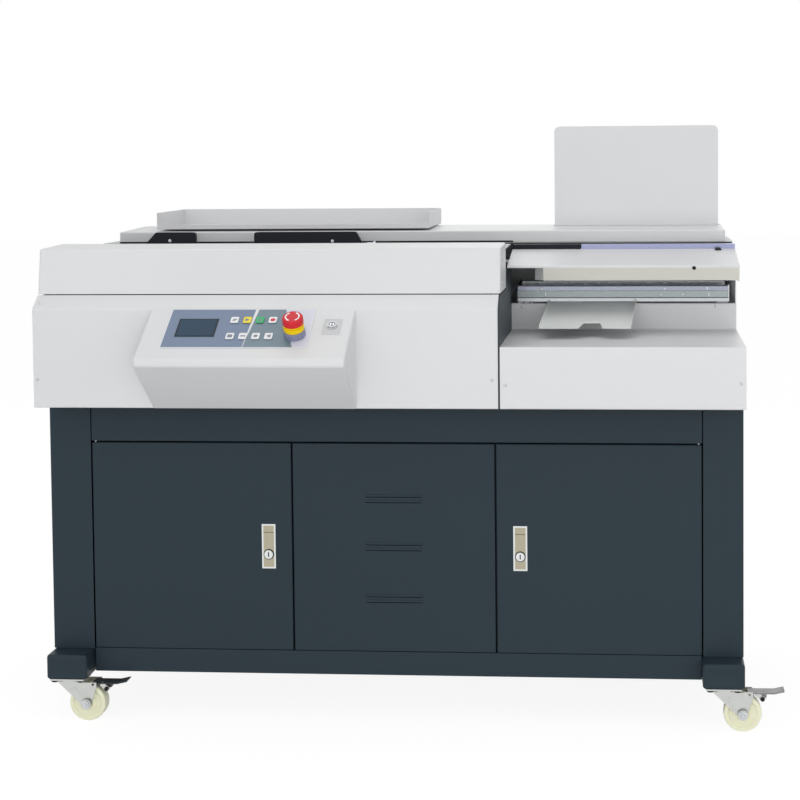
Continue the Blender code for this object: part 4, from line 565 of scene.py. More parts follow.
nut_pattern = turned(
    "nut_pattern",
    [
        (AXLE_NUT_RADIUS, WASHER_SHEET),
        (AXLE_NUT_RADIUS, AXLE_NUT_HEIGHT * 0.8),
        (AXLE_NUT_RADIUS * 0.86, AXLE_NUT_HEIGHT * 0.92),
        (AXLE_NUT_RADIUS * 0.60, AXLE_NUT_HEIGHT),
        (AXLE_NUT_RADIUS * 0.50, AXLE_NUT_HEIGHT * 0.9),
    ],
    (0, 0, 0),
    (0, -1, 0),
    6,
)
stud_pattern = turned(
    "stud_pattern",
    [(0.0036, 0.002), (0.0036, AXLE_NUT_HEIGHT + 0.0010), (0.0030, AXLE_NUT_HEIGHT + 0.0016)],
    (0, 0, 0),
    (0, -1, 0),
    24,
)
dressed(washer_pattern, zinc)
dressed(nut_pattern, bright_steel)
dressed(stud_pattern, bright_steel)
axle_pattern = merged("axle_pattern", [washer_pattern, nut_pattern, stud_pattern])
for (end, side), place in caster_places.items():
    fork = f"caster_fork_{end}_{side}"
    body = f"caster_{end}_{side}"
    pressed = eased(fork, f"caster_fork_pressed_{end}_{side}", 0.0005)
    dressed(pressed, zinc)
    fit(pressed, body, "zinc_plate", fork)
    axle = Vector((place.x + CASTER_TRAIL, place.y, WHEEL_RADIUS))
    rolling = copied(wheel_pattern, f"nylon_wheel_{end}_{side}", Matrix.Translation(axle))
    fit(rolling, f"wheel_{end}_{side}", "ivory_nylon", f"caster_wheel_{end}_{side}")
    ribs = []
    fasteners = []
    for sign in (-1, 1):
        facing = Matrix.Identity(4) if sign < 0 else Matrix.Rotation(math.pi, 4, "Z")
        cheek_y = axle.y + sign * (CHEEK_OUTER + AXLE_END_GAP)
        cheek = Matrix.Translation((axle.x, cheek_y, axle.z))
        fasteners.append(copied(axle_pattern, "axle_end", cheek @ facing))
        rib_place = (place.x + RIB_PLACE[0], place.y + sign * CHEEK_OUTER, RIB_PLACE[1])
        slant = Matrix.Rotation(RIB_SLANT, 4, "Y")
        ribs.append(copied(rib_pattern, "rib", Matrix.Translation(rib_place) @ slant))
    fit(merged(f"caster_ribs_{end}_{side}", ribs), body, "zinc_plate")
    fit(merged(f"axle_ends_{end}_{side}", fasteners), body, "bright_steel")
    if end == "front":
        pedal = eased(f"caster_pedal_{side}", f"brake_pedal_{side}", 0.0006)
        # The two front pedals are one part, given two tones: a dark coat on the left and pale steel
        # on the right.
        dressed(pedal, pedal_paint if side == "left" else pedal_steel)
        fit(pedal, f"pedal_{side}", "dark_plate", f"caster_pedal_{side}")
        head = Vector((place.x + STRUT_TOP[0], 0, STRUT_TOP[1]))
        foot = Vector((place.x + STRUT_FOOT[0], 0, STRUT_FOOT[1]))
        reach = (head - foot).length
        near, far = STRUT_SIDE
        strut = rounded_box(
            "strut", (-STRUT_HALF, near, -STRUT_HALF), (STRUT_HALF, far, reach), 0.0008, 2
        )
        lean = Vector((0, 0, 1)).rotation_difference(head - foot).to_matrix().to_4x4()
        strut.data.transform(Matrix.Translation((foot.x, place.y, foot.z)) @ lean)
        dressed(strut, zinc)
        nut_y = place.y + near
        nut_start = (foot.x, nut_y - STRUT_NUT_STANDS, foot.z)
        nut_end = (foot.x, nut_y + STRUT_NUT_SINKS, foot.z)
        nut = rod("nut", nut_start, nut_end, STRUT_NUT, sides=6)
        dressed(nut, black_steel_and_shade)
        fit(merged(f"brake_strut_{side}", [strut, nut]), f"pedal_{side}", "zinc_plate")
for pattern in (wheel_pattern, rib_pattern, axle_pattern):
    bpy.data.objects.remove(pattern)


# The cabinet: a welded frame with its top band and base skirt showing, and two side panels
# that are folded round the front as posts. All of it is powder coated in one slate colour.
POST_FOLD = 0.0030
PANEL_SHEET = 0.0020
FRAME_EDGE = 0.0009


def folded_sheet(name, path, across, sheet, fold, towards):
    """Sheet metal drawn along a path, bent to a radius at its corners, its metal on one side."""
    start_clean()
    path = [Vector(point) for point in path]
    across = Vector(across)
    bpy.ops.mesh.primitive_plane_add(size=1)
    piece = bpy.context.object
    corners = (path[0], path[1], path[1] + across, path[0] + across)
    order = [piece.data.polygons[0].vertices[index] for index in range(4)]
    for index, corner in zip(order, corners):
        piece.data.vertices[index].co = corner
    bpy.ops.object.mode_set(mode="EDIT")

    def at_corner(edge, point):
        wanted = (point, point + across)
        ends = [vert.co for vert in edge.verts]
        return all(min((end - place).length for end in ends) < 1e-6 for place in wanted)

    pick(piece, "EDGE", lambda edge: at_corner(edge, path[1]))
    for last, following in zip(path[1:], path[2:]):
        bpy.ops.mesh.extrude_edges_move(TRANSFORM_OT_translate={"value": following - last})
    folds = path[1:-1]
    if folds:
        pick(piece, "EDGE", lambda edge: any(at_corner(edge, point) for point in folds))
        bpy.ops.mesh.bevel(offset=fold, segments=4, affect="EDGES")
    bpy.ops.mesh.select_all(action="SELECT")
    bpy.ops.mesh.normals_make_consistent(inside=False)
    bpy.ops.object.mode_set(mode="OBJECT")
    start_middle = (path[0] + path[1] + across) / 2
    first = min(piece.data.polygons, key=lambda face: (face.center - start_middle).length)
    wall = piece.modifiers.new("wall", "SOLIDIFY")
    wall.thickness = sheet
    wall.offset = 1 if first.normal.dot(Vector(towards)) > 0 else -1
    wall.use_even_offset = True
    bpy.ops.object.modifier_apply(modifier=wall.name)
    rim = piece.modifiers.new("rim", "BEVEL")
    rim.width = sheet * 0.2
    rim.segments = 2
    rim.limit_method = "ANGLE"
    rim.angle_limit = math.radians(50)
    bpy.ops.object.modifier_apply(modifier=rim.name)
    return settled(piece, name)


def on_root(piece, material, slot, *nodes):
    """A fixed piece with one material."""
    return fit(dressed(piece, material), "root", slot, *nodes)


cabinet = eased("cabinet_frame", "cabinet_welded_frame", FRAME_EDGE)
on_root(cabinet, slate, "slate_paint", "cabinet_frame")
for side in ("left", "right"):
    low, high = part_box(f"cabinet_side_{side}")
    outer, inner = (low.x, high.x) if side == "left" else (high.x, low.x)
    wrap = [(inner, low.y, low.z), (outer, low.y, low.z), (outer, high.y, low.z)]
    panel = folded_sheet(
        f"cabinet_panel_{side}", wrap, (0, 0, high.z - low.z), PANEL_SHEET, POST_FOLD, (0, 1, 0)
    )
    on_root(panel, slate, "slate_paint", f"cabinet_side_{side}")


# The two cabinet doors: folded pans that swing on small pivot pins at their outer corners.
# Each has a satin nickel push lock: a flush plate with its tab, and a cylinder with a keyway.
DOOR_SHEET = 0.0018
DOOR_FOLD = 0.0024
LOCK_PROUD = 0.0012
LOCK_HALF = (0.014, 0.045)
LOCK_FROM_EDGE = 0.047
LOCK_RISE = 0.2110
LOCK_FRAME = 0.0034
LOCK_SEAM = 0.0007
LOCK_SEAM_RISE = 0.0280
LOCK_TAB_PROUD = 0.0007
LOCK_DROP = 0.016
LOCK_RADIUS = 0.0090
LOCK_LENGTH = 0.0180
KEYWAY_HALF = (0.0011, 0.0048)
KEYWAY_DEPTH = 0.0030
PIVOT_RADIUS = 0.0022
LOCK_NICKEL = (0.46, 0.42, 0.31)
LOCK_EDGE = (0.74, 0.77, 0.76)
KEYWAY_SHADE = 0.0004
LOCK_BORE = 0.0094
BORE_MARGIN = 0.01
CAM_HALF = 0.005
CAM_SHEET = 0.0025
PIVOT_INSET = 0.006
PIVOT_SETBACK = 0.007
PIVOT_HALF = 0.0035
PIVOT_GAP = 0.0006


def brushed(name, colour, roughness, stretch, depth=0.06):
    """Ground metal: fine lines along one axis in its tone, gloss and surface."""
    made, nodes, links, shader = set_out(name)
    shader.inputs["Metallic"].default_value = 1.0
    lines = object_noise(nodes, links, 60.0, 4.0, stretch)
    dark = [value * 0.90 for value in colour]
    light = [min(value * 1.08, 1) for value in colour]
    tone = blend_colours(nodes, links, lines.outputs["Fac"], dark, light)
    links.new(tone, shader.inputs["Base Color"])
    uneven = between(nodes, links, lines.outputs["Fac"], roughness - 0.06, roughness + 0.08)
    links.new(uneven, shader.inputs["Roughness"])
    raised(nodes, links, shader, lines.outputs["Fac"], depth, 0.0001)
    return made


def sheet_box(name, low, high, open_sides, sheet, fold, shape=None):
    """A folded pan or cover: a shaped cube with open sides, rounded folds and a wall."""
    piece = plain_cube(low, high)
    if shape:
        for vertex in piece.data.vertices:
            vertex.co = shape(vertex.co.copy())
    bpy.ops.object.mode_set(mode="EDIT")
    openings = [Vector(side) for side in open_sides]
    pick(piece, "FACE", lambda face: any(face.normal.dot(side) > 0.9 for side in openings))
    bpy.ops.mesh.delete(type="FACE")
    pick(piece, "EDGE", lambda edge: not edge.is_boundary)
    bpy.ops.mesh.bevel(offset=fold, segments=4, affect="EDGES")
    bpy.ops.object.mode_set(mode="OBJECT")
    wall = piece.modifiers.new("wall", "SOLIDIFY")
    wall.thickness = sheet
    wall.offset = -1
    wall.use_even_offset = True
    bpy.ops.object.modifier_apply(modifier=wall.name)
    rim = piece.modifiers.new("rim", "BEVEL")
    rim.width = sheet * 0.2
    rim.segments = 2
    rim.limit_method = "ANGLE"
    rim.angle_limit = math.radians(60)
    bpy.ops.object.modifier_apply(modifier=rim.name)
    return settled(piece, name)


def cut_away(piece, *cutters):
    """Takes the cutters' shapes out of a piece."""
    for cutter in cutters:
        only(piece)
        step = piece.modifiers.new("cut", "BOOLEAN")
        step.operation = "DIFFERENCE"
        step.solver = "EXACT"
        step.object = cutter
        bpy.ops.object.modifier_apply(modifier=step.name)
        bpy.data.objects.remove(cutter)
    return settled(piece, piece.name)


lock_nickel = brushed("lock_nickel", LOCK_NICKEL, 0.34, (8, 8, 1))
lock_frame = brushed("lock_frame_nickel", LOCK_EDGE, 0.26, (8, 8, 1))
for side in ("left", "right"):
    node = f"door_{side}"
    low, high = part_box(node)
    front = low.y + LOCK_PROUD
    pan = sheet_box(
        f"door_pan_{side}", (low.x, front, low.z), high, [(0, 1, 0)], DOOR_SHEET, DOOR_FOLD
    )
    lock_x = high.x - LOCK_FROM_EDGE if side == "left" else low.x + LOCK_FROM_EDGE
    lock_z = low.z + LOCK_RISE
    cylinder_z = lock_z - LOCK_DROP
    bore_ends = (
        (lock_x, low.y - BORE_MARGIN, cylinder_z),
        (lock_x, front + BORE_MARGIN, cylinder_z),
    )
    dressed(cut_away(pan, rod("bore", *bore_ends, LOCK_BORE)), slate)
    fit(pan, node, "slate_paint", node)

    half_x, half_z = LOCK_HALF
    plate = rounded_box(
        "plate",
        (lock_x - half_x, low.y, lock_z - half_z),
        (lock_x + half_x, front + DOOR_SHEET / 2, lock_z + half_z),
        0.0005,
        2,
    )
    inner = half_x - LOCK_FRAME
    seam = lock_z + LOCK_SEAM_RISE
    panels = (
        ("tab", lock_z - half_z + LOCK_FRAME, seam, LOCK_TAB_PROUD, lock_nickel),
        ("seam", seam - LOCK_SEAM, seam + 2 * LOCK_SEAM, LOCK_TAB_PROUD / 3, black_steel_and_shade),
        ("button", seam + LOCK_SEAM, lock_z + half_z - LOCK_FRAME, LOCK_TAB_PROUD, lock_nickel),
    )
    lock_parts = [dressed(plate, lock_frame)]
    for name, foot, top, proud, look in panels:
        panel = rounded_box(
            name,
            (lock_x - inner, low.y - proud, foot),
            (lock_x + inner, low.y + proud, top),
            proud * 0.8,
            2,
        )
        lock_parts.append(dressed(panel, look))
    for piece in lock_parts[:2]:
        cut_away(piece, rod("bore", *bore_ends, LOCK_BORE))
    fit(merged(f"lock_plate_{side}", lock_parts), node, "satin_nickel")
    collar_profile = [
        (LOCK_RADIUS + 0.0003, 0),
        (LOCK_RADIUS + 0.0016, 0),
        (LOCK_RADIUS + 0.0016, LOCK_TAB_PROUD + 0.0007),
        (LOCK_RADIUS + 0.0003, LOCK_TAB_PROUD + 0.0007),
    ]
    collar = turned(
        f"lock_collar_{side}", collar_profile, (lock_x, low.y, cylinder_z), (0, -1, 0), hollow=True
    )
    fit(dressed(collar, black_steel_and_shade), node, "black_plate")

    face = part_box(f"lock_cylinder_{side}")[0].y
    barrel = turned(
        "barrel",
        [
            (LOCK_RADIUS - 0.0010, 0),
            (LOCK_RADIUS - 0.0003, 0.0003),
            (LOCK_RADIUS, 0.0012),
            (LOCK_RADIUS, LOCK_LENGTH),
        ],
        (lock_x, face, cylinder_z),
        (0, 1, 0),
    )
    keyway = plain_cube(
        (lock_x - KEYWAY_HALF[0], face - 0.002, cylinder_z - KEYWAY_HALF[1]),
        (lock_x + KEYWAY_HALF[0], face + KEYWAY_DEPTH, cylinder_z + KEYWAY_HALF[1]),
    )
    cut_away(barrel, keyway)
    cam_low, cam_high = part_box(f"lock_cylinder_{side}")
    cam = rounded_box(
        "cam",
        (lock_x - CAM_HALF, cam_high.y - CAM_SHEET, cam_low.z),
        (lock_x + CAM_HALF, cam_high.y, cylinder_z + CAM_HALF),
        0.0006,
        2,
    )
    # A black block sunk in the keyway: painted shade, so the keyway reads dark instead of showing
    # the bright metal of its walls.
    shade = plain_cube(
        (lock_x - KEYWAY_HALF[0], face + KEYWAY_SHADE, cylinder_z - KEYWAY_HALF[1]),
        (lock_x + KEYWAY_HALF[0], face + KEYWAY_DEPTH, cylinder_z + KEYWAY_HALF[1]),
    )
    dressed(shade, black_steel_and_shade)
    turning_parts = [dressed(barrel, lock_frame), dressed(cam, lock_frame), shade]
    turning = merged(f"lock_barrel_{side}", turning_parts)
    fit(turning, f"lock_{side}", "satin_nickel", f"lock_cylinder_{side}")

    hinge_x = low.x + PIVOT_INSET if side == "left" else high.x - PIVOT_INSET
    hinge_y = front + PIVOT_SETBACK
    pins = [
        rod(
            "pin",
            (hinge_x, hinge_y, z - PIVOT_HALF),
            (hinge_x, hinge_y, z + PIVOT_HALF),
            PIVOT_RADIUS,
        )
        for z in (low.z - PIVOT_GAP, high.z + PIVOT_GAP)
    ]
    fit(dressed(merged(f"door_pivots_{side}", pins), bright_steel), "root", "bright_steel")


# The fixed centre panel between the doors: the same folded pan, with three pairs of narrow
# louvres pressed out of it to let warm air leave the dust extractor's bay.
LOUVRE_HALF = 0.056
LOUVRE_SLIT = 0.0013
LOUVRE_HOOD = 0.0011
LOUVRE_PITCH = 0.011
LOUVRE_HEIGHT_SHARES = (0.25, 0.50, 0.73)
low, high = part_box("centre_panel")
centre_pan = sheet_box("centre_pan", low, high, [(0, 1, 0)], DOOR_SHEET, DOOR_FOLD)
middle = (low.x + high.x) / 2
slits = []
hoods = []
for share_up in LOUVRE_HEIGHT_SHARES:
    for sign in (-1, 1):
        level = low.z + (high.z - low.z) * share_up + sign * LOUVRE_PITCH / 2
        slits.append(
            plain_cube(
                (middle - LOUVRE_HALF, low.y - 0.003, level - LOUVRE_SLIT / 2),
                (middle + LOUVRE_HALF, low.y + 0.006, level + LOUVRE_SLIT / 2),
            )
        )
        hood_low = level + LOUVRE_SLIT / 2
        hood = rounded_box(
            "hood",
            (middle - LOUVRE_HALF - 0.002, low.y - LOUVRE_HOOD, hood_low),
            (middle + LOUVRE_HALF + 0.002, low.y + 0.0005, hood_low + 0.0045),
            LOUVRE_HOOD * 0.7,
            3,
        )
        hoods.append(hood)
cut_away(centre_pan, *slits)
on_root(merged("centre_louvred_pan", [centre_pan, *hoods]), slate, "slate_paint", "centre_panel")


# What the cabinet hides: a moulded waste bin on the left, a zinc dust extractor with clamp
# bands in the middle, and a steel box with two rows of breakers on the right.
BIN_PLASTIC = (0.115, 0.125, 0.130)
UNIT_GREY = (0.36, 0.38, 0.39)
BAND_RADIUS = 0.1118
BAND_WALL = 0.0015
BAND_HALF = 0.006
BAND_SHARES = (0.12, 0.80)
DRUM_HEIGHT = 0.260
HANDLE_RISE = 0.030
HANDLE_RADIUS = 0.0035
HANDLE_HALF = 0.055
HANDLE_END = 0.05
HANDLE_END_RADIUS = 0.003
HANDLE_STAND = 0.010
BREAKER_HALF = (0.0075, 0.004, 0.008)
BREAKERS = 9
BREAKER_PITCH = 0.0215

bin_plastic = moulded("bin_plastic", BIN_PLASTIC, 0.5)
unit_paint = powder_coat("unit_grey_coat", UNIT_GREY, 0.42)
black_plastic_and_shadow = moulded("black_plastic_and_shadow", BLACK_AND_SHADE, 0.36, shine=DULL)
waste_bin = dressed(eased("dust_bin", "waste_bin_shell", 0.0008), bin_plastic)
low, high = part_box("dust_bin")
grip_y = low.y - HANDLE_STAND
grip_x = (low.x + high.x) / 2
grip_z = high.z - HANDLE_RISE
grip_left = (grip_x - HANDLE_HALF, grip_y, grip_z)
grip_right = (grip_x + HANDLE_HALF, grip_y, grip_z)
grip = [rod("grip_bar", grip_left, grip_right, HANDLE_RADIUS)]
for end_x in (grip_x - HANDLE_END, grip_x + HANDLE_END):
    welded_at = (end_x, low.y + 0.001, grip_z)
    grip.append(rod("grip_end", (end_x, grip_y, grip_z), welded_at, HANDLE_END_RADIUS))
fit(waste_bin, "root", "bin_grey", "dust_bin")
fit(dressed(merged("waste_bin_grip", grip), black_plastic_and_shadow), "root", "black_plate")

drum = dressed(eased("extractor", "extractor_drum", 0.0010), zinc)
fit(drum, "root", "zinc_plate", "extractor")
low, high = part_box("extractor")
drum_middle = ((low.x + high.x) / 2, high.y - (high.x - low.x) / 2)
bands = []
for share_up in BAND_SHARES:
    level = low.z + DRUM_HEIGHT * share_up
    band_profile = [
        (BAND_RADIUS - BAND_WALL - 0.0005, level - BAND_HALF),
        (BAND_RADIUS, level - BAND_HALF),
        (BAND_RADIUS, level + BAND_HALF),
        (BAND_RADIUS - BAND_WALL - 0.0005, level + BAND_HALF),
    ]
    bands.append(turned("band", band_profile, (*drum_middle, 0), sides=96, hollow=True))
    buckle_x = drum_middle[0] + BAND_RADIUS
    buckle = rounded_box(
        "buckle",
        (buckle_x - 0.002, drum_middle[1] - 0.012, level - 0.009),
        (buckle_x + 0.006, drum_middle[1] + 0.012, level + 0.009),
        0.0015,
    )
    bands.append(buckle)
fit(dressed(merged("extractor_bands", bands), bright_steel), "root", "bright_steel")

electrics = dressed(eased("electrics_box", "electrics_case", 0.0010), unit_paint)
fit(electrics, "root", "unit_grey", "electrics_box")
low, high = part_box("electrics_box")
toggles = []
for share_up in (1 / 3, 2 / 3):
    level = low.z + (high.z - low.z) * share_up
    for index in range(BREAKERS):
        x = (low.x + high.x) / 2 + (index - (BREAKERS - 1) / 2) * BREAKER_PITCH
        half_x, half_y, half_z = BREAKER_HALF
        toggles.append(
            rounded_box(
                "toggle",
                (x - half_x, low.y - half_y, level - half_z),
                (x + half_x, low.y + half_y / 8, level + half_z),
                0.0012,
                2,
            )
        )
fit(dressed(merged("electrics_breakers", toggles), black_plastic_and_shadow), "root", "black_plate")


# The pale body's end covers, back cover, decks and the dark plate between its two halves:
# 2-3 mm sheet, powder coated, held by small pan-head screws with crossed recesses.
PALE = (0.700, 0.706, 0.716)
PALE_ROUGHNESS = 0.40
DECK_GREY = (0.44, 0.45, 0.455)
PLATE_DARK = (0.045, 0.056, 0.066)
COVER_EDGE = 0.0007
SCREW_RADIUS = 0.0034
SCREW_HEIGHT = 0.0019
RECESS_HALF = (0.0018, 0.00035)
REAR_VENTS = 9
REAR_VENT_PITCH = 0.014
REAR_VENT_HALF = (0.085, 0.0022)
REAR_VENT_LOW = 0.700
REAR_VENT_INSET = 0.30
REAR_SCREW_INSET = 0.020
END_SCREW_SHARES = (0.05, 0.35, 0.65, 0.96)
END_SCREW_RISE = 0.016
FINGER_SETBACK = 0.004
FINGER_LOW = (-0.1310, 0.940)
FINGER_HIGH = (-0.1170, 0.9445)
FINGER_HALF = 0.003
BALL_PLACE = (-0.1140, 0.9398)
BALL_PROFILE = (
    (0.0012, 0),
    (0.0030, 0.0012),
    (0.0038, 0.0036),
    (0.0030, 0.0060),
    (0.0012, 0.0072),
)

pale = powder_coat("pale_powder_coat", PALE, PALE_ROUGHNESS, 0.02, 0.08)
deck_paint = powder_coat("deck_grey_coat", DECK_GREY, 0.38, 0.03, 0.08)
plate_paint = powder_coat("dark_plate_coat", PLATE_DARK, 0.40, 0.05, 0.08, DULL)
screw_pattern = turned(
    "screw_pattern",
    [
        (SCREW_RADIUS, -0.0004),
        (SCREW_RADIUS, SCREW_HEIGHT * 0.35),
        (SCREW_RADIUS * 0.88, SCREW_HEIGHT * 0.75),
        (SCREW_RADIUS * 0.55, SCREW_HEIGHT),
    ],
    (0, 0, 0),
    sides=28,
)
long_half, thin_half = RECESS_HALF
cross = [
    plain_cube((-half_x, -half_y, SCREW_HEIGHT * 0.4), (half_x, half_y, SCREW_HEIGHT * 2))
    for half_x, half_y in ((long_half, thin_half), (thin_half, long_half))
]
dressed(cut_away(screw_pattern, *cross), bright_steel)


def screws(name, places, direction, body="root", size=1.0, material=None):
    """A set of pan-head screws standing out of a surface in one direction."""
    aim = Vector((0, 0, 1)).rotation_difference(Vector(direction)).to_matrix().to_4x4()
    heads = [
        copied(screw_pattern, "head", Matrix.Translation(place) @ aim @ Matrix.Scale(size, 4))
        for place in places
    ]
    piece = merged(name, heads)
    if material:
        dressed(piece, material)
    return fit(piece, body, "black_plate" if material else "bright_steel")


for side in ("left", "right"):
    cheek = eased(f"side_cover_{side}", f"end_cover_{side}", COVER_EDGE)
    on_root(cheek, pale, "pale_paint", f"side_cover_{side}")
    low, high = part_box(f"side_cover_{side}")
    face_x = low.x if side == "left" else high.x
    spots = [
        (face_x, low.y + (high.y - low.y) * share, low.z + END_SCREW_RISE)
        for share in END_SCREW_SHARES
    ]
    screws(f"end_cover_screws_{side}", spots, (-1, 0, 0) if side == "left" else (1, 0, 0))
on_root(eased("mid_plate", "partition_plate", 0.0006), plate_paint, "dark_plate", "mid_plate")

back = eased("rear_cover", "back_cover", COVER_EDGE)
low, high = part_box("rear_cover")
vent_half_x, vent_half_z = REAR_VENT_HALF
slots = []
for bank_x in (low.x + REAR_VENT_INSET, high.x - REAR_VENT_INSET):
    for index in range(REAR_VENTS):
        level = REAR_VENT_LOW + index * REAR_VENT_PITCH
        slot = rounded_box(
            "slot",
            (bank_x - vent_half_x, high.y - 0.01, level - vent_half_z),
            (bank_x + vent_half_x, high.y + 0.01, level + vent_half_z),
            vent_half_z * 0.98,
        )
        slots.append(slot)
cut_away(back, merged("slots", slots))
on_root(back, deck_paint, "grey_paint", "rear_cover")
spots = [
    (x, high.y, z)
    for x in (low.x + REAR_SCREW_INSET, (low.x + high.x) / 2, high.x - REAR_SCREW_INSET)
    for z in (low.z + REAR_SCREW_INSET, high.z - REAR_SCREW_INSET)
]
screws("back_cover_screws", spots, (0, 1, 0))

on_root(eased("deck_left", "feed_deck", 0.0005), deck_paint, "grey_paint", "deck_left")
low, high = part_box("deck_left")
finger_y = high.y - FINGER_SETBACK
finger_low = (FINGER_LOW[0], finger_y - FINGER_HALF, FINGER_LOW[1])
finger_high = (FINGER_HIGH[0], finger_y + FINGER_HALF, FINGER_HIGH[1])
finger = [
    rounded_box("finger", finger_low, finger_high, 0.001),
    turned("ball", BALL_PROFILE, (BALL_PLACE[0], finger_y, BALL_PLACE[1]), sides=24),
]
fit(dressed(merged("slot_guide_finger", finger), bright_steel), "root", "bright_steel")


# The station's sloping deck: a folded plate with a leaning cream fascia under its front edge,
# a dark opening at the fascia's left end, and a bluish steel book rail along its rear edge.
RIGHT_TOP_SHEET = 0.003
RIGHT_TOP_FOLD = 0.0035
STATION_FRONT = 0.130
STATION_LEAN = 0.010
STATION_FASCIA = 0.031
STATION_FRONT_HEIGHT = 0.9045
STATION_REAR_HEIGHT = 0.9315
CABINET_FRONT = -0.212
FASCIA_LEFT = 0.2586
FASCIA_CREAM = (0.66, 0.65, 0.59)
FASCIA_TRIM = 0.0008
BRACKET_LEFT = 0.2405
BRACKET_LAP = 0.004
BRACKET_LIFT = 0.001
BRACKET_SETBACKS = (0.012, 0.022, 0.055)
BRACKET_HEIGHT = 0.0265
BRACKET_SHEET = 0.002
BRACKET_FOLD = 0.0025
FASCIA_STOP = (0.5648, 0.0004, 0.0050)
RAIL_SPLIT = 0.331
RAIL_TOP = 0.9395
RAIL_FRONT = 0.299
RAIL_REAR = 0.315
RAIL_TINT = (0.40, 0.42, 0.62)
KNOB_PLACE = (0.6202, 0.286, 0.9270)

cream = powder_coat("cream_coat", FASCIA_CREAM, 0.42, 0.02, 0.08)
rail_steel = brushed("rail_steel", RAIL_TINT, 0.32, (1, 8, 8))
low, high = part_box("deck_right")
front_y = CABINET_FRONT + STATION_FRONT
rear_y = CABINET_FRONT + RAIL_REAR
fascia_foot = STATION_FRONT_HEIGHT - STATION_FASCIA
slope_path = [
    (low.x, front_y + STATION_LEAN, fascia_foot),
    (low.x, front_y, STATION_FRONT_HEIGHT),
    (low.x, rear_y, STATION_REAR_HEIGHT),
]
sloping = folded_sheet(
    "station_deck", slope_path, (high.x - low.x, 0, 0), RIGHT_TOP_SHEET, RIGHT_TOP_FOLD, (0, 1, 0)
)
gap_cutter = plain_cube(
    (low.x - 0.01, front_y - 0.01, fascia_foot - 0.01),
    (FASCIA_LEFT, front_y + 0.03, STATION_FRONT_HEIGHT - RIGHT_TOP_FOLD - 0.001),
)
on_root(cut_away(sloping, gap_cutter), pale, "pale_paint", "deck_right")
lean = Vector((0, STATION_LEAN, -STATION_FASCIA))
outward = Vector((0, -STATION_FASCIA, -STATION_LEAN)).normalized() * FASCIA_TRIM
trim_top = Vector((FASCIA_LEFT, front_y, STATION_FRONT_HEIGHT)) + lean * 0.17 + outward
trim = folded_sheet(
    "station_fascia",
    [trim_top + lean * 0.81, trim_top],
    (high.x - FASCIA_LEFT, 0, 0),
    FASCIA_TRIM,
    FASCIA_TRIM,
    (0, 1, 0),
)
on_root(trim, cream, "pale_paint")
first_y, second_y, last_y = (front_y + setback for setback in BRACKET_SETBACKS)
bracket_foot = fascia_foot + BRACKET_LIFT
bracket_path = [
    (FASCIA_LEFT + BRACKET_LAP, first_y, bracket_foot),
    (FASCIA_LEFT - BRACKET_LAP, first_y, bracket_foot),
    (BRACKET_LEFT, second_y, bracket_foot),
    (BRACKET_LEFT, last_y, bracket_foot),
]
bracket = folded_sheet(
    "fascia_bracket", bracket_path, (0, 0, BRACKET_HEIGHT), BRACKET_SHEET, BRACKET_FOLD, (0, 1, 0)
)
on_root(bracket, deck_paint, "grey_paint")
rails = (
    ("rail_brush", low.x, RAIL_SPLIT - 0.0005, black_plastic_and_shadow, "black_plate"),
    ("rail_bar", RAIL_SPLIT + 0.0005, high.x, rail_steel, "bright_steel"),
)
for rail_name, start_x, end_x, rail_finish, rail_slot in rails:
    bar_low = (start_x, CABINET_FRONT + RAIL_FRONT, STATION_REAR_HEIGHT - 0.003)
    bar = rounded_box(rail_name, bar_low, (end_x, rear_y, RAIL_TOP), 0.0009, 2)
    on_root(bar, rail_finish, rail_slot)
knob_x, knob_back, knob_z = KNOB_PLACE
knob = turned(
    "rail_knob",
    [(0.0075, 0), (0.0075, 0.0015), (0.0050, 0.0045), (0.0030, 0.0055)],
    (knob_x, CABINET_FRONT + knob_back, knob_z),
    sides=32,
)
on_root(knob, black_plastic_and_shadow, "black_plate")
stop_x, stop_back, stop_drop = FASCIA_STOP
screws(
    "fascia_stop",
    [(stop_x, front_y + stop_back, STATION_FRONT_HEIGHT - stop_drop)],
    (0, -STATION_FASCIA, -STATION_LEAN),
    size=1.15,
    material=black_plastic_and_shadow,
)


# The clamp: a ground guide shaft, the sliding steel carriage with the rear jaw, and the black
# front jaw whose two upright end plates stand above the deck, each with one bright screw.
SHAFT_END = 0.0015
JAW_SCREWS = ((-0.5640, 0.9490), (-0.2065, 0.9470))
CLAMP_EDGE = 0.0009
HORN_CORNER = 0.007
REAR_JAW_FACE = 0.377
REAR_JAW_BACK = 0.387
FACING_SHEET = 0.0005
FACING_DROP = 0.020

ground_steel = brushed("ground_steel", STEEL, 0.24, (1, 10, 10), 0.04)
low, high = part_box("guide_shaft")
shaft_middle = ((low.y + high.y) / 2, (low.z + high.z) / 2)
shaft = rod(
    "ground_guide_shaft",
    (low.x, *shaft_middle),
    (high.x, *shaft_middle),
    (high.z - low.z) / 2,
    SHAFT_END,
    64,
)
on_root(shaft, ground_steel, "bright_steel", "guide_shaft")
carriage = dressed(eased("clamp_carriage", "carriage_with_rear_jaw", CLAMP_EDGE), ground_steel)
fit(carriage, "clamp_carriage", "bright_steel", "clamp_carriage")
horn_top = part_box("clamp_jaw")[1].z


def on_horn_corner(edge):
    """An edge across the sheet at the top of one of the jaw's two upright plates."""
    near, far = (vert.co for vert in edge.verts)
    across = abs((far - near).normalized().y) > 0.95
    return across and min(near.z, far.z) > horn_top - 0.0005


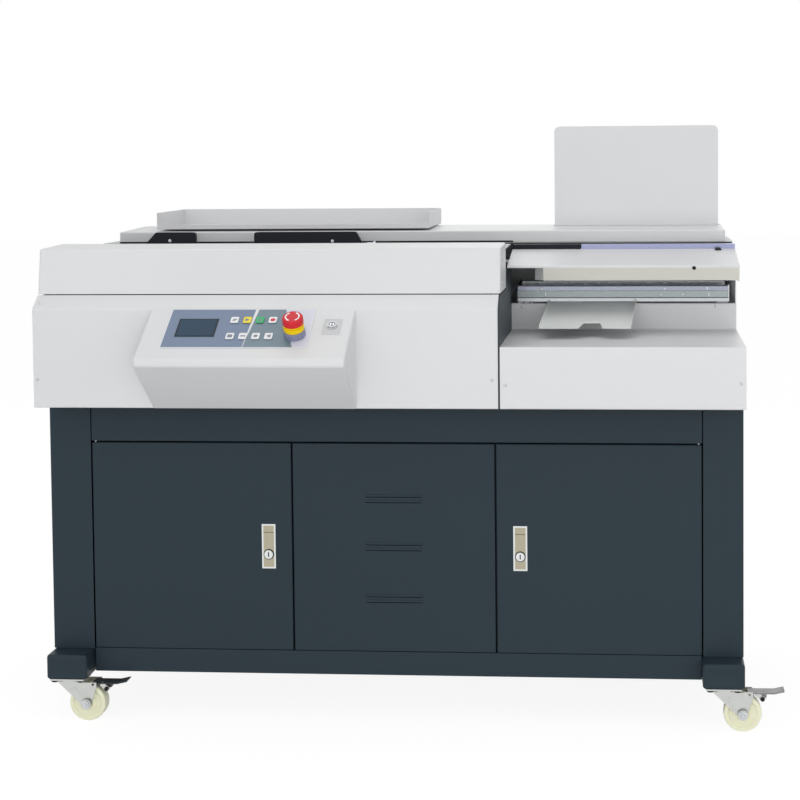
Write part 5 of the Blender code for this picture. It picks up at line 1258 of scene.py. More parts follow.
front_jaw = eased(
    "clamp_jaw", "front_jaw_with_horns", CLAMP_EDGE, 3, corners=on_horn_corner, radius=HORN_CORNER
)
dressed(front_jaw, black_steel_and_shade)
fit(front_jaw, "clamp_jaw", "black_plate", "clamp_jaw")
low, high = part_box("clamp_carriage")
facing = rounded_box(
    "rear_jaw_facing",
    (low.x, CABINET_FRONT + REAR_JAW_FACE - FACING_SHEET, high.z - FACING_DROP),
    (high.x, CABINET_FRONT + REAR_JAW_BACK + FACING_SHEET, high.z + FACING_SHEET),
    0.0003,
    2,
)
fit(dressed(facing, black_plastic_and_shadow), "clamp_carriage", "black_plate")
jaw_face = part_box("clamp_jaw")[0].y
spots = [(x, jaw_face, z) for x, z in JAW_SCREWS]
screws("jaw_screws", spots, (0, -1, 0), "clamp_jaw", 1.1)


# Under the clamp's path: the toothed milling disc on its motor, and the heated tank of amber
# hot-melt glue in which two ground rollers turn.
GLUE = (0.62, 0.38, 0.09)
GLUE_LEVEL = 0.8120
GLUE_WALL = 0.0034
TANK_FLOOR = 0.7890

glue_look, glue_nodes, glue_links, glue_shader = set_out("hot_melt_glue")
glue_shader.inputs["Base Color"].default_value = (*GLUE, 1)
glue_shader.inputs["Roughness"].default_value = 0.16
glue_shader.inputs["Subsurface Weight"].default_value = 0.4
glue_shader.inputs["Subsurface Radius"].default_value = (0.010, 0.006, 0.002)
ripple = object_noise(glue_nodes, glue_links, 45.0)
raised(glue_nodes, glue_links, glue_shader, ripple.outputs["Fac"], 0.25, 0.002)
milling = dressed(eased("cutter", "milling_disc", 0.0005), ground_steel)
fit(milling, "milling_cutter", "bright_steel", "cutter")
on_root(eased("cutter_motor", "milling_motor", 0.0008), unit_paint, "unit_grey", "cutter_motor")
on_root(eased("glue_tank", "heated_glue_tank", 0.0008), unit_paint, "unit_grey", "glue_tank")
for order in ("first", "second"):
    roller = eased(f"glue_roller_{order}", f"ground_glue_roller_{order}", 0.0006)
    fit(dressed(roller, ground_steel), f"roller_{order}", "bright_steel", f"glue_roller_{order}")
low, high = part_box("glue_tank")
molten = rounded_box(
    "molten_glue",
    (low.x + GLUE_WALL, low.y + GLUE_WALL, TANK_FLOOR + 0.001),
    (high.x - GLUE_WALL, high.y - GLUE_WALL, GLUE_LEVEL),
    0.0008,
    2,
)
on_root(molten, glue_look, "bright_steel")


# The nipping station: a steel table with its rear jaw, and the moving front jaw, a bright bar
# over a duller one, bolted and slotted at its ends. Adjusting bolts stand at its left.
JAW_STEP = 0.0142
JAW_BAND_SETBACK = 0.0018
BOLT_RADIUS = 0.0034
BOLT_HEIGHT = 0.0026
JAW_BOLTS = ((0.2490, 0.8470), (0.5070, 0.8480), (0.5000, 0.8350), (0.5450, 0.8350))
JAW_SLOTS = ((0.5960, 0.8480), (0.5995, 0.8352), (0.2560, 0.8350))
FLANGE_BOLTS = (0.2003, 0.2140, 0.2260)
FLANGE_BOLT_SETBACK = 0.0045
SLOT_HALF = (0.0016, 0.0042)
SLOT_SPAN = (-0.0008, 0.0010)
END_PLATE_SPAN = (0.0030, 0.0002)
END_PLATE_PROUD = 0.0014
END_PLATE_ABOVE = 0.0025
NIP_BLUE = (0.42, 0.44, 0.53)
NIP_GREEN = (0.43, 0.48, 0.49)

bright_bar = brushed("bright_bar_steel", NIP_BLUE, 0.26, (1, 10, 10))
dull_bar = brushed("dull_bar_steel", NIP_GREEN, 0.34, (1, 10, 10))
on_root(eased("nip_table", "nipping_table", 0.0008), ground_steel, "bright_steel", "nip_table")
low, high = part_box("nip_jaw")
upper = rounded_box("nip_bar_upper", (low.x, low.y, low.z + JAW_STEP), high, 0.0010)
lower = rounded_box(
    "nip_bar_lower",
    (low.x, low.y + JAW_BAND_SETBACK, low.z),
    (high.x, high.y, low.z + JAW_STEP + 0.0012),
    0.0008,
)
fit(dressed(upper, bright_bar), "nip_jaw", "bright_steel", "nip_jaw")
fit(dressed(lower, dull_bar), "nip_jaw", "bright_steel")
hex_pattern = turned(
    "hex_pattern",
    [(BOLT_RADIUS, -0.002), (BOLT_RADIUS, BOLT_HEIGHT * 0.8), (BOLT_RADIUS * 0.84, BOLT_HEIGHT)],
    (0, 0, 0),
    sides=6,
)
forward = Vector((0, 0, 1)).rotation_difference(Vector((0, -1, 0))).to_matrix().to_4x4()
fittings = []
for x, z in JAW_BOLTS:
    setback = 0 if z > low.z + JAW_STEP else JAW_BAND_SETBACK
    place = Matrix.Translation((x, low.y + setback + 0.0012, z))
    fittings.append(copied(hex_pattern, "bolt", place @ forward))
for x, z in JAW_SLOTS:
    setback = 0 if z > low.z + JAW_STEP else JAW_BAND_SETBACK
    face_y = low.y + setback
    half_x, half_z = SLOT_HALF
    slot_low = (x - half_x, face_y + SLOT_SPAN[0], z - half_z)
    slot_high = (x + half_x, face_y + SLOT_SPAN[1], z + half_z)
    fittings.append(rounded_box("slot", slot_low, slot_high, 0.0007, 2))
end_plate = rounded_box(
    "end_plate",
    (high.x - END_PLATE_SPAN[0], low.y - END_PLATE_PROUD, low.z),
    (high.x - END_PLATE_SPAN[1], high.y, high.z + END_PLATE_ABOVE),
    0.0005,
    2,
)
fittings.append(end_plate)
fit(dressed(merged("nip_jaw_fittings", fittings), bright_steel), "nip_jaw", "bright_steel")
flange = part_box("front_cover_right")[1]
bolt_y = flange.y - FLANGE_BOLT_SETBACK
heads = [
    copied(hex_pattern, "bolt", Matrix.Translation((x, bolt_y, flange.z))) for x in FLANGE_BOLTS
]
fit(dressed(merged("station_bolts", heads), bright_steel), "root", "bright_steel")
bpy.data.objects.remove(hex_pattern)


# The delivery chute: thin grey-green sheet hooked over the recess wall and sloping forward,
# with low side flanges and a finger notch in its lip.
CHUTE_GREEN = (0.78, 0.81, 0.79)
CHUTE_SKEW = 0.010
CHUTE_NOTCH_SHIFT = 0.011
CHUTE_BASE = 0.8179
CHUTE_HOOK = 0.010
CHUTE_SHEET = 0.0015
CHUTE_FOLD = 0.0020
CHUTE_FLANGE = 0.007
CHUTE_NOTCH_HALF = 0.026
CHUTE_NOTCH_SLANT = 0.010
CHUTE_NOTCH_DEPTH = 0.040

chute_paint = powder_coat("chute_coat", CHUTE_GREEN, 0.36, 0.02, 0.08)
low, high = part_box("chute")
chute_hook = high.y - CHUTE_HOOK
chute_lip = Vector((low.x, low.y, low.z))
chute_path = [(low.x, high.y, CHUTE_BASE), (low.x, chute_hook, CHUTE_BASE), chute_lip]
slide = folded_sheet(
    "slide", chute_path, (high.x - low.x, 0, 0), CHUTE_SHEET, CHUTE_FOLD, (0, 0, 1)
)
notch_middle = (low.x + high.x) / 2 + CHUTE_NOTCH_SHIFT
notch = plain_cube(
    (notch_middle - CHUTE_NOTCH_HALF, low.y - 0.01, low.z - 0.01),
    (notch_middle + CHUTE_NOTCH_HALF, low.y + CHUTE_NOTCH_DEPTH, low.z + 0.03),
)
for vertex in notch.data.vertices:
    if vertex.co.y > low.y:
        vertex.co.x += CHUTE_NOTCH_SLANT if vertex.co.x < notch_middle else -CHUTE_NOTCH_SLANT
cut_away(slide, notch)
chute_pieces = [slide]
for side_x, inward in ((low.x, 1), (high.x, -1)):
    start = Vector((side_x, chute_hook, CHUTE_BASE))
    end = Vector((side_x, chute_lip.y, chute_lip.z))
    flange = folded_sheet(
        "side", [start, end], (0, 0, CHUTE_FLANGE), CHUTE_SHEET, CHUTE_SHEET, (inward, 0, 0)
    )
    chute_pieces.append(flange)
chute = merged("delivery_chute", chute_pieces)
for vertex in chute.data.vertices:
    share = (chute_hook - vertex.co.y) / (chute_hook - low.y)
    vertex.co.x -= CHUTE_SKEW * min(1, max(0, share))
on_root(chute, chute_paint, "chute_grey", "chute")


# The front covers: 2 mm sheet folded along its length. The left one ends in a sloped
# shoulder, the right one forms the delivery ledge and the recess wall behind it.
COVER_SHEET = 0.002
COVER_FOLD = 0.0035
COVER_FLANGE_END = -0.070
COVER_FRONT = -0.090
SHOULDER_FOOT = 0.8367
SHOULDER_END = (-0.054, 0.8612)
BODY_FLOOR = 0.6419
LEDGE_TOP = 0.7625
LEDGE_BACK = 0.250
RECESS_END = (0.260, 0.8176)
COVER_SCREWS = (
    ("cover_screws_left", ((-0.7249, 0.6975), (0.1695, 0.6985))),
    ("cover_screws_right", ((0.1955, 0.6885), (0.6465, 0.6925))),
)
RECESS_SCREWS = ((0.2085, 0.8105), (0.6130, 0.8125))
SHOULDER_SCREW = (-0.7215, -0.0755, 0.8467)
SEAL_END = 0.012
SEAL_FRONT = -0.0503
SEAL_LOW = 0.8575
SEAL_DEPTH = 0.009
SEAL_HEIGHT = 0.0100

left_low, left_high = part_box("front_cover_left")
left_path = [
    (COVER_FLANGE_END, BODY_FLOOR),
    (COVER_FRONT, BODY_FLOOR),
    (COVER_FRONT, SHOULDER_FOOT),
    SHOULDER_END,
]
right_low, right_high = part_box("front_cover_right")
right_path = [
    (COVER_FLANGE_END, BODY_FLOOR),
    (COVER_FRONT, BODY_FLOOR),
    (COVER_FRONT, LEDGE_TOP),
    (LEDGE_BACK, LEDGE_TOP),
    (LEDGE_BACK, RECESS_END[1]),
    RECESS_END,
]
for side, path, low, high in (
    ("left", left_path, left_low, left_high),
    ("right", right_path, right_low, right_high),
):
    profile = [(low.x, CABINET_FRONT + back, z) for back, z in path]
    cover = folded_sheet(
        f"front_sheet_{side}", profile, (high.x - low.x, 0, 0), COVER_SHEET, COVER_FOLD, (0, 0, 1)
    )
    on_root(cover, pale, "pale_paint", f"front_cover_{side}")
for name, places in COVER_SCREWS:
    spots = [(x, CABINET_FRONT + COVER_FRONT, z) for x, z in places]
    screws(name, spots, (0, -1, 0))
spots = [(x, CABINET_FRONT + LEDGE_BACK, z) for x, z in RECESS_SCREWS]
screws("recess_screws", spots, (0, -1, 0))
spots = [(SHOULDER_SCREW[0], CABINET_FRONT + SHOULDER_SCREW[1], SHOULDER_SCREW[2])]
screws("shoulder_screw", spots, (0, SHOULDER_FOOT - SHOULDER_END[1], SHOULDER_END[0] - COVER_FRONT))
seal = rounded_box(
    "lid_seal",
    (left_low.x + SEAL_END, CABINET_FRONT + SEAL_FRONT, SEAL_LOW),
    (left_high.x - SEAL_END, CABINET_FRONT + SEAL_FRONT + SEAL_DEPTH, SEAL_LOW + SEAL_HEIGHT),
    0.001,
    2,
)
on_root(seal, black_plastic_and_shadow, "black_plate")


# The lid over the clamp: a folded cover with a leaning front and closed ends, open below,
# hung on a knuckled hinge along the deck.
LID_FRONT = -0.054
LID_REAR = 0.0945
LID_BOTTOM = 0.8630
LID_TOP_FRONT = 0.9515
LID_TOP_REAR = 0.9545
LID_LEAN = 0.016
LID_FOLD = 0.0040
LEAF_MARGIN = 0.060
LEAF_FOOT = 0.9403
LID_SCREWS = ((0.042, 0.9310), (0.036, 0.8795))

low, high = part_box("front_lid")
lid_low = Vector((low.x, CABINET_FRONT + LID_FRONT, LID_BOTTOM))
lid_high = Vector((high.x, CABINET_FRONT + LID_REAR, LID_TOP_REAR))


def lid_form(point):
    """Leans the lid's front back and drops its front edge a little."""
    if point.z > lid_high.z - 0.001 and point.y < lid_low.y + 0.001:
        return Vector((point.x, point.y + LID_LEAN, LID_TOP_FRONT))
    return point


lid_openings = [(0, 0, -1), (0, 1, 0)]
lid = sheet_box(
    "leaning_lid", lid_low, lid_high, lid_openings, COVER_SHEET, LID_FOLD, lid_form
)
leaf = rounded_box(
    "leaf",
    (low.x + LEAF_MARGIN, lid_high.y - COVER_SHEET, LEAF_FOOT),
    (high.x - LEAF_MARGIN, lid_high.y, LID_TOP_REAR - COVER_SHEET / 2),
    0.0006,
    2,
)
fit(dressed(merged("front_lid_shell", [lid, leaf]), pale), "front_lid", "pale_paint", "front_lid")
spots = [(high.x, lid_low.y + setback, z) for setback, z in LID_SCREWS]
screws("lid_end_screws", spots, (1, 0, 0), "front_lid", 0.8)


# The low rear housing, the shallow open-fronted book tray on it, and the upright fence whose
# foot is folded forward. Their folds are rounded.
HOUSING_SHEET = 0.002
HOUSING_FOLD = 0.0030
HOUSING_FRONT_TOP = 0.9653
SLOT_SHADOW_SHEET = 0.0012
SLOT_SHADOW_HEIGHT = 0.0032
TRAY_SHEET = 0.002
TRAY_FOLD = 0.0025
TRAY_LIP = 0.010

low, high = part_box("rear_housing")


def housing_form(point):
    """Slopes the housing's top down to its front edge."""
    if point.z > high.z - 0.001 and point.y < low.y + 0.001:
        return Vector((point.x, point.y, HOUSING_FRONT_TOP))
    return point


housing = sheet_box(
    "rear_cover_box", low, high, [(0, 0, -1)], HOUSING_SHEET, HOUSING_FOLD, housing_form
)
on_root(housing, pale, "pale_paint", "rear_housing")
# A thin black strip along the foot of the housing's front, over the feed deck: painted shadow of
# the slot between the lid and the housing, not a real lip.
lip = rounded_box(
    "slot_shadow_strip",
    (low.x, low.y - SLOT_SHADOW_SHEET, low.z),
    (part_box("deck_left")[1].x, low.y + HOUSING_SHEET / 2, low.z + SLOT_SHADOW_HEIGHT),
    0.0004,
    2,
)
on_root(lip, black_plastic_and_shadow, "black_plate")
low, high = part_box("book_tray")
tray = sheet_box("open_book_tray", low, high, [(0, 0, 1)], TRAY_SHEET, TRAY_FOLD)
mouth = plain_cube(
    (low.x + TRAY_SHEET, low.y - 0.01, low.z + TRAY_LIP),
    (high.x - TRAY_SHEET, low.y + TRAY_SHEET + 0.0001, high.z + 0.01),
)
on_root(cut_away(tray, mouth), pale, "pale_paint", "book_tray")
on_root(eased("cover_fence", "standing_fence", 0.0008, 3), pale, "pale_paint", "cover_fence")


# The wedge-shaped control box on the left front cover: a folded case with an inclined face,
# open behind, with a window under the keypad and a bore for the key switch.
FACE_ORIGIN = (-0.4955, -0.3023, 0.8367)
FACE_DROP = 0.0825
LIP_BOTTOM = 0.7407
CASE_SHEET = 0.0025
CASE_FOLD = 0.0045
KEY_COLUMN = 0.1735
KEY_PITCH = 0.0248
KEY_ROW = 0.041
KEY_ROW_PITCH = 0.052
WINDOW_MARGIN = 0.0130
SWITCH_PLACE = (0.3648, -0.0570)
SWITCH_BORE = 0.0093

low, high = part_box("control_box")
case_back = FACE_ORIGIN[1]
face_angle = math.atan2(FACE_DROP, case_back - low.y)
face = Matrix.Translation(FACE_ORIGIN) @ Matrix.Rotation(face_angle, 4, "X")


def case_form(point):
    """Draws the cube's front down to the lip of the wedge."""
    if point.y < low.y + 0.001:
        top = point.z > (BODY_FLOOR + FACE_ORIGIN[2]) / 2
        return Vector((point.x, point.y, FACE_ORIGIN[2] - FACE_DROP if top else LIP_BOTTOM))
    return point


def laid(piece):
    """Puts a piece that was made flat onto the inclined face."""
    piece.data.transform(face)
    return piece


case = sheet_box(
    "control_case",
    (low.x, low.y, BODY_FLOOR),
    (high.x, case_back, FACE_ORIGIN[2]),
    [(0, 1, 0)],
    CASE_SHEET,
    CASE_FOLD,
    case_form,
)
window = laid(
    plain_cube(
        (KEY_COLUMN - WINDOW_MARGIN, -KEY_ROW - KEY_ROW_PITCH - WINDOW_MARGIN, -0.012),
        (KEY_COLUMN + 3 * KEY_PITCH + WINDOW_MARGIN, -KEY_ROW + WINDOW_MARGIN, 0.004),
    )
)
switch_hole = laid(rod("bore", (*SWITCH_PLACE, -0.012), (*SWITCH_PLACE, 0.004), SWITCH_BORE))
on_root(cut_away(case, window, switch_hole), pale, "pale_paint", "control_box")


# The keypad: a printed membrane with a plain swoosh and a lavender end, a framed display, and
# eight raised key caps that carry generic marks only.
PANEL_LEFT = 0.0445
PANEL_WIDTH = 0.282
PANEL_TOP = -0.003
PANEL_LENGTH = 0.125
PANEL_SURFACE = 0.0018
SWOOSH_AT = 0.2125
SWOOSH_SLANT = 0.080
SWOOSH_HALF = 0.0022
END_AT = 0.2665
END_SLANT = -0.240
MEMBRANE_BLUE = (0.150, 0.205, 0.310)
MEMBRANE_TEAL = (0.150, 0.215, 0.262)
MEMBRANE_LAVENDER = (0.66, 0.67, 0.76)
MEMBRANE_BORDER = (0.74, 0.76, 0.78)
BORDER_WIDTH = 0.0014
DISPLAY_LOW = (0.0655, -0.094)
DISPLAY_HIGH = (0.1425, -0.036)
DISPLAY_TOP = 0.0026
DISPLAY_FRAME = 0.0030
DISPLAY_BLUE = (0.028, 0.066, 0.112)
DISPLAY_DARK = (0.020, 0.045, 0.080)
KEY_CAP_HALF = (0.0078, 0.0098)
KEY_CAP_LOW = 0.00315
KEY_CAP_TOP = 0.00375
KEY_STEM_RADIUS = 0.0072
KEY_STEM_DEPTH = 0.0056
KEY_COLOURS = ("key_white", "key_yellow", "key_green", "key_white") + ("key_white",) * 4
KEY_TINTS = {
    "key_white": (0.80, 0.81, 0.82),
    "key_yellow": (0.86, 0.68, 0.02),
    "key_green": (0.02, 0.42, 0.14),
}
MARK_DARK = (0.20, 0.22, 0.27)
MARK_RED = (0.66, 0.04, 0.08)
MARK_THICKNESS = 0.00012
MARK_SCALE = 1.35
MARK_SIDES = 20
MARK_SINKS = 0.00004


def figure(nodes, links, operation, first, second=None):
    """One step of arithmetic in a material."""
    step = nodes.new("ShaderNodeMath")
    step.operation = operation
    for socket, value in zip(step.inputs, (first, second)):
        if value is None:
            continue
        if isinstance(value, (int, float)):
            socket.default_value = value
        else:
            links.new(value, socket)
    return step.outputs[0]


def ramp(nodes, links, value, start, end):
    """0 below the start, 1 above the end, even between."""
    spread = nodes.new("ShaderNodeMapRange")
    spread.inputs["From Min"].default_value = start
    spread.inputs["From Max"].default_value = end
    links.new(value, spread.inputs["Value"])
    return spread.outputs["Result"]


def over(nodes, links, factor, under, colour):
    """Lays a plain colour over what is already printed."""
    mix = nodes.new("ShaderNodeMix")
    mix.data_type = "RGBA"
    links.new(under, mix.inputs[6])
    mix.inputs[7].default_value = (*colour, 1)
    links.new(factor, mix.inputs["Factor"])
    return mix.outputs[2]


membrane, print_nodes, print_links, print_shader = set_out("printed_membrane")
tools = (print_nodes, print_links)
position = print_nodes.new("ShaderNodeTexCoord")
parts = print_nodes.new("ShaderNodeSeparateXYZ")
print_links.new(position.outputs["Object"], parts.inputs[0])
across = figure(*tools, "SUBTRACT", parts.outputs["X"], FACE_ORIGIN[0])
surface_z = FACE_ORIGIN[2] + PANEL_SURFACE * math.cos(face_angle)
rise = figure(*tools, "SUBTRACT", parts.outputs["Z"], surface_z)
up = figure(*tools, "DIVIDE", rise, math.sin(face_angle))
swoosh_line = figure(*tools, "SUBTRACT", across, figure(*tools, "MULTIPLY", up, SWOOSH_SLANT))
end_line = figure(*tools, "SUBTRACT", across, figure(*tools, "MULTIPLY", up, END_SLANT))
after_swoosh = ramp(*tools, swoosh_line, SWOOSH_AT - 0.001, SWOOSH_AT + 0.001)
printed = blend_colours(*tools, after_swoosh, MEMBRANE_BLUE, MEMBRANE_TEAL)
off_line = figure(*tools, "ABSOLUTE", figure(*tools, "SUBTRACT", swoosh_line, SWOOSH_AT))
taper = figure(*tools, "MULTIPLY_ADD", up, 0.022)
taper.node.inputs[2].default_value = SWOOSH_HALF + 0.0010
beside = figure(*tools, "SUBTRACT", taper, off_line)
printed = over(*tools, ramp(*tools, beside, -0.0008, 0.0008), printed, MEMBRANE_BORDER)
past_end = ramp(*tools, end_line, END_AT - 0.001, END_AT + 0.002)
printed = over(*tools, past_end, printed, MEMBRANE_LAVENDER)
aside = figure(*tools, "SUBTRACT", across, PANEL_LEFT + PANEL_WIDTH / 2)
from_middle = figure(*tools, "ABSOLUTE", aside)
side_edge = figure(*tools, "SUBTRACT", from_middle, PANEL_WIDTH / 2 - BORDER_WIDTH)
above = figure(*tools, "SUBTRACT", up, PANEL_TOP - PANEL_LENGTH / 2)
from_centre = figure(*tools, "ABSOLUTE", above)
top_edge = figure(*tools, "SUBTRACT", from_centre, PANEL_LENGTH / 2 - BORDER_WIDTH * 1.3)
edge_line = figure(*tools, "MAXIMUM", side_edge, top_edge)
printed = over(*tools, ramp(*tools, edge_line, -0.0001, 0.0001), printed, MEMBRANE_BORDER)
print_links.new(printed, print_shader.inputs["Base Color"])
print_shader.inputs["Roughness"].default_value = 0.34
grain = object_noise(print_nodes, print_links, 1400.0)
raised(print_nodes, print_links, print_shader, grain.outputs["Fac"], 0.08, 0.0001)
on_root(eased("key_panel", "keypad_membrane", 0.0002, 2), membrane, "keypad_blue", "key_panel")

frame_low = (*DISPLAY_LOW, PANEL_SURFACE)
frame_high = (*DISPLAY_HIGH, DISPLAY_TOP + 0.0002)
bezel = laid(rounded_box("display_bezel", frame_low, frame_high, 0.0006, 2))
on_root(bezel, black_plastic_and_shadow, "black_plate")
display_look, display_nodes, display_links, display_shader = set_out("display_glass")
shade = object_noise(display_nodes, display_links, 9.0)
tone = blend_colours(
    display_nodes, display_links, shade.outputs["Fac"], DISPLAY_DARK, DISPLAY_BLUE
)
display_links.new(tone, display_shader.inputs["Base Color"])
display_shader.inputs["Roughness"].default_value = 0.20
display_shader.inputs["Specular IOR Level"].default_value = 0.12
glass = laid(
    rounded_box(
        "display_window",
        (DISPLAY_LOW[0] + DISPLAY_FRAME, DISPLAY_LOW[1] + DISPLAY_FRAME, DISPLAY_TOP),
        (DISPLAY_HIGH[0] - DISPLAY_FRAME, DISPLAY_HIGH[1] - DISPLAY_FRAME, DISPLAY_TOP + 0.0004),
        0.0001,
        1,
    )
)
on_root(glass, display_look, "keypad_blue")


def flat_mark(name, outline, level, material):
    """A thin printed mark: its outline filled and given a little thickness."""
    start_clean()
    bpy.ops.mesh.primitive_circle_add(vertices=len(outline), radius=0.01, fill_type="NGON")
    mark = bpy.context.object
    for vertex, (x, y) in zip(mark.data.vertices, outline):
        vertex.co = (x, y, level)
    bpy.ops.object.mode_set(mode="EDIT")
    bpy.ops.mesh.select_all(action="SELECT")
    bpy.ops.mesh.extrude_region_move(TRANSFORM_OT_translate={"value": (0, 0, MARK_THICKNESS)})
    bpy.ops.mesh.select_all(action="SELECT")
    bpy.ops.mesh.normals_make_consistent(inside=False)
    bpy.ops.object.mode_set(mode="OBJECT")
    return dressed(settled(mark, name), material)


def circle_outline(radius):
    """The corners of a round mark."""
    angles = [2 * math.pi * step / MARK_SIDES for step in range(MARK_SIDES)]
    return [(radius * math.cos(angle), radius * math.sin(angle)) for angle in angles]


def is_upright(edge):
    """Whether an edge runs along z."""
    return abs((edge.verts[0].co - edge.verts[1].co).normalized().z) > 0.9


mark_dark = moulded("mark_dark", MARK_DARK, 0.5)
mark_red = moulded("mark_red", MARK_RED, 0.5)
MARKS = (
    ([(-0.0040, -0.0020), (0.0010, -0.0020), (0.0040, 0.0020), (-0.0010, 0.0020)], mark_dark),
    ([(-0.0030, -0.0040), (0.0035, 0.0), (-0.0030, 0.0040)], mark_dark),
    ([(-0.0035, -0.0030), (0.0035, -0.0030), (0.0, 0.0040)], mark_dark),
    (circle_outline(0.0036), mark_red),
    ([(-0.0035, -0.0035), (0.0035, -0.0035), (0.0035, 0.0035), (-0.0035, 0.0035)], mark_dark),
    ([(-0.0038, -0.0015), (0.0038, -0.0015), (0.0038, 0.0015), (-0.0038, 0.0015)], mark_dark),
    (circle_outline(0.0030), mark_dark),
    ([(0.0030, -0.0040), (-0.0035, 0.0), (0.0030, 0.0040)], mark_dark),
)
key_looks = {name: moulded(f"{name}_plastic", tint, 0.4) for name, tint in KEY_TINTS.items()}
for number, (tint, (outline, ink)) in enumerate(zip(KEY_COLOURS, MARKS)):
    key_x = KEY_COLUMN + (number % 4) * KEY_PITCH
    key_y = -KEY_ROW - (number // 4) * KEY_ROW_PITCH
    half_x, half_y = KEY_CAP_HALF
    cap = plain_cube(
        (key_x - half_x, key_y - half_y, KEY_CAP_LOW), (key_x + half_x, key_y + half_y, KEY_CAP_TOP)
    )
    bpy.ops.object.mode_set(mode="EDIT")
    pick(cap, "EDGE", is_upright)
    bpy.ops.mesh.bevel(offset=0.0030, segments=5, affect="EDGES")
    pick(cap, "FACE", lambda face: face.normal.z > 0.9)
    bpy.ops.mesh.region_to_loop()
    bpy.ops.mesh.bevel(offset=0.0002, segments=2, affect="EDGES")
    bpy.ops.object.mode_set(mode="OBJECT")
    settled(cap, "cap")
    stem_foot = (key_x, key_y, KEY_CAP_LOW - KEY_STEM_DEPTH)
    stem = rod("stem", stem_foot, (key_x, key_y, KEY_CAP_LOW + 0.0002), KEY_STEM_RADIUS)
    button = laid(dressed(merged(f"key_cap_{number + 1}", [cap, stem]), key_looks[tint]))
    fit(button, f"key_{number + 1}", tint, f"key_{number + 1}")
    shifted = [(key_x + x * MARK_SCALE, key_y + y * MARK_SCALE) for x, y in outline]
    mark = laid(flat_mark(f"key_mark_{number + 1}", shifted, KEY_CAP_TOP - MARK_SINKS, ink))
    fit(mark, f"key_{number + 1}", "stop_red" if ink is mark_red else "black_plate")


# The emergency stop: a blue-grey base and a yellow collar, and a red mushroom head that slides
# over the collar's neck, with two plain white arc arrows on it.
STOP_PLACE = (0.2975, -0.088, 0.0021)
STOP_BORE = 0.0083
STOP_RED = (0.62, 0.018, 0.030)
STOP_YELLOW = (0.86, 0.60, 0.0)
STOP_BASE = (0.22, 0.23, 0.34)
STOP_HEAD_RADIUS = 0.0200
STOP_HEAD_TOP = 0.0433
ARC_RADII = (0.0116, 0.0142)
ARC_SPANS = ((-60, 50), (120, 230))
ARC_STEPS = 12
TIP_HALF = 0.0028
TIP_LENGTH = 0.0052
ARROW_WHITE = (0.86, 0.86, 0.86)
STOP_RING_PROFILE = (
    (0.0190, 0.0145),
    (0.0202, 0.0140),
    (0.0208, 0.0120),
    (0.0208, 0.0010),
    (0.0204, 0),
    (0.0176, 0),
    (0.0176, 0.0145),
)
STOP_COLLAR_PROFILE = (
    (STOP_BORE, 0.0040),
    (STOP_BORE, 0.0330),
    (0.0168, 0.0330),
    (0.0172, 0.0326),
    (0.0172, 0.0229),
    (0.0186, 0.0229),
    (0.0196, 0.0222),
    (0.0198, 0.0150),
    (0.0172, 0.0148),
    (0.0172, 0.0002),
)
STOP_HEAD_PROFILE = (
    (0.0080, 0.0093),
    (0.0080, 0.0385),
    (0.0178, 0.0385),
    (0.0178, 0.0287),
    (0.0182, 0.0283),
    (0.0195, 0.0283),
    (STOP_HEAD_RADIUS, 0.0288),
    (STOP_HEAD_RADIUS, 0.0388),
    (0.0197, 0.0404),
    (0.0189, 0.0418),
    (0.0175, 0.0429),
    (0.0158, STOP_HEAD_TOP),
)

stop_red = moulded("stop_red", STOP_RED, 0.28, shine=0.25)
stop_yellow = moulded("stop_yellow", STOP_YELLOW, 0.32, shine=0.25)
stop_base = moulded("stop_base", STOP_BASE, 0.4)
arrow_white = moulded("arrow_white", ARROW_WHITE, 0.4)
seat = Vector(STOP_PLACE)
base = turned(
    "stop_base_ring",
    STOP_RING_PROFILE,
    seat,
    sides=64,
    hollow=True,
)
on_root(laid(base), stop_base, "unit_grey")
collar = turned(
    "stop_collar",
    STOP_COLLAR_PROFILE,
    seat,
    sides=64,
)
on_root(laid(collar), stop_yellow, "collar_yellow", "estop_body")
head = turned(
    "stop_head",
    STOP_HEAD_PROFILE,
    seat,
    sides=72,
)
fit(laid(dressed(head, stop_red)), "stop_button", "stop_red", "estop_head")


def arc_outline(first, last):
    """A curved band on the head, drawn out along one radius and back along the other."""
    inner, outer = ARC_RADII
    angles = [
        math.radians(first + (last - first) * step / ARC_STEPS) for step in range(ARC_STEPS + 1)
    ]
    out = [(outer * math.cos(angle), outer * math.sin(angle)) for angle in angles]
    home = [(inner * math.cos(angle), inner * math.sin(angle)) for angle in reversed(angles)]
    return [(seat.x + x, seat.y + y) for x, y in out + home]


level = seat.z + STOP_HEAD_TOP - MARK_SINKS
arrows = []
for first, last in ARC_SPANS:
    arrows.append(flat_mark("arc", arc_outline(first, last), level, arrow_white))
    tip = math.radians(last)
    middle = sum(ARC_RADII) / 2
    along = Vector((-math.sin(tip), math.cos(tip), 0))
    out = Vector((math.cos(tip), math.sin(tip), 0))
    point = out * middle + along * TIP_LENGTH
    points = [out * (middle + TIP_HALF), point, out * (middle - TIP_HALF)]
    points = [(seat.x + corner.x, seat.y + corner.y) for corner in points]
    arrows.append(flat_mark("tip", points, level, arrow_white))
fit(laid(merged("stop_arrows", arrows)), "stop_button", "key_white")


# The key switch: a nickel barrel with its keyway in a threaded ring, on a square pale plate.
RING_OUTER = 0.0108
RING_HEIGHT = 0.0022
SWITCH_RADIUS = 0.0090
SWITCH_TOP = 0.0060
SWITCH_LOW = -0.014
SWITCH_PLATE_LOW = (0.3470, -0.0850)
SWITCH_PLATE_HIGH = (0.3830, -0.0340)
SWITCH_PLATE_SHEET = 0.0007
PLATE_GREY = (0.56, 0.57, 0.58)
GROOVE_SHADE_RADII = (0.0050, 0.0066)
KEYHOLE_HALF = (0.0009, 0.0045)
KEYHOLE_DEPTH = 0.0035

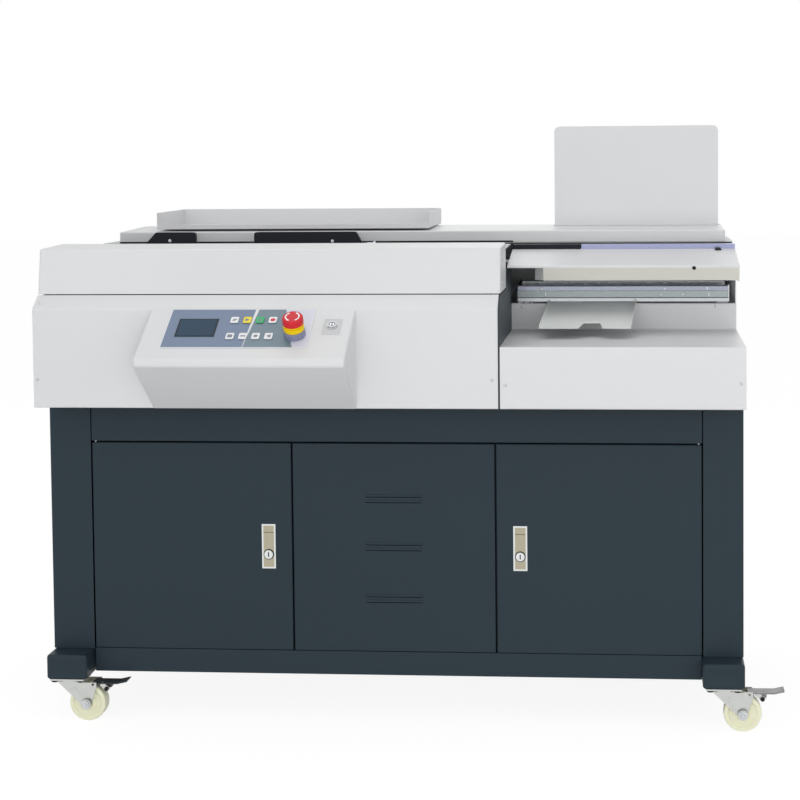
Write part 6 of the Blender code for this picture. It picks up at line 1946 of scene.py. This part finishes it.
switch_place = Vector((*SWITCH_PLACE, 0))
barrel = turned(
    "key_switch_barrel",
    [
        (SWITCH_RADIUS - 0.0004, SWITCH_LOW),
        (SWITCH_RADIUS, SWITCH_LOW + 0.0004),
        (SWITCH_RADIUS, SWITCH_TOP - 0.0008),
        (SWITCH_RADIUS - 0.0008, SWITCH_TOP),
        (SWITCH_RADIUS - 0.0022, SWITCH_TOP),
        (SWITCH_RADIUS - 0.0026, SWITCH_TOP - 0.0005),
    ],
    switch_place,
)
slot_half, slot_long = KEYHOLE_HALF
keyhole = plain_cube(
    (switch_place.x - slot_half, switch_place.y - slot_long, SWITCH_TOP - KEYHOLE_DEPTH),
    (switch_place.x + slot_half, switch_place.y + slot_long, SWITCH_TOP + 0.001),
)
cut_away(barrel, keyhole)
# A black block in the bottom of the keyhole: painted shade in the keyhole.
keyhole_shade = plain_cube(
    (switch_place.x - slot_half, switch_place.y - slot_long, SWITCH_TOP - KEYHOLE_DEPTH),
    (switch_place.x + slot_half, switch_place.y + slot_long, SWITCH_TOP - 0.0008),
)
# A black ring set into the barrel's face: painted shade in the groove round the plug.
groove_shade_ring = turned(
    "groove_shade_ring",
    [
        (GROOVE_SHADE_RADII[0], SWITCH_TOP - 0.0012),
        (GROOVE_SHADE_RADII[1], SWITCH_TOP - 0.0012),
        (GROOVE_SHADE_RADII[1], SWITCH_TOP - 0.0003),
        (GROOVE_SHADE_RADII[0], SWITCH_TOP - 0.0003),
    ],
    switch_place,
    hollow=True,
)
switch_parts = [
    dressed(barrel, bright_steel),
    dressed(keyhole_shade, black_steel_and_shade),
    dressed(groove_shade_ring, black_steel_and_shade),
]
fit(laid(merged("key_switch_barrel", switch_parts)), "key_switch", "satin_nickel", "key_switch")
plate_paint_pale = powder_coat("switch_plate_coat", PLATE_GREY, 0.36, 0.03, 0.2)
plate = plain_cube((*SWITCH_PLATE_LOW, 0), (*SWITCH_PLATE_HIGH, SWITCH_PLATE_SHEET))
bpy.ops.object.mode_set(mode="EDIT")
pick(plate, "EDGE", is_upright)
bpy.ops.mesh.bevel(offset=0.003, segments=4, affect="EDGES")
bpy.ops.object.mode_set(mode="OBJECT")
settled(plate, "key_switch_plate")
cut_away(plate, rod("bore", (*SWITCH_PLACE, -0.002), (*SWITCH_PLACE, 0.004), SWITCH_BORE))
on_root(laid(plate), plate_paint_pale, "pale_paint")
ring = turned(
    "key_switch_ring",
    [
        (SWITCH_BORE, SWITCH_PLATE_SHEET),
        (RING_OUTER, SWITCH_PLATE_SHEET),
        (RING_OUTER, RING_HEIGHT),
        (RING_OUTER - 0.0006, RING_HEIGHT + 0.0006),
        (SWITCH_BORE, RING_HEIGHT + 0.0006),
    ],
    switch_place,
    sides=48,
    hollow=True,
)
on_root(laid(ring), bright_steel, "satin_nickel")
bpy.data.objects.remove(screw_pattern)
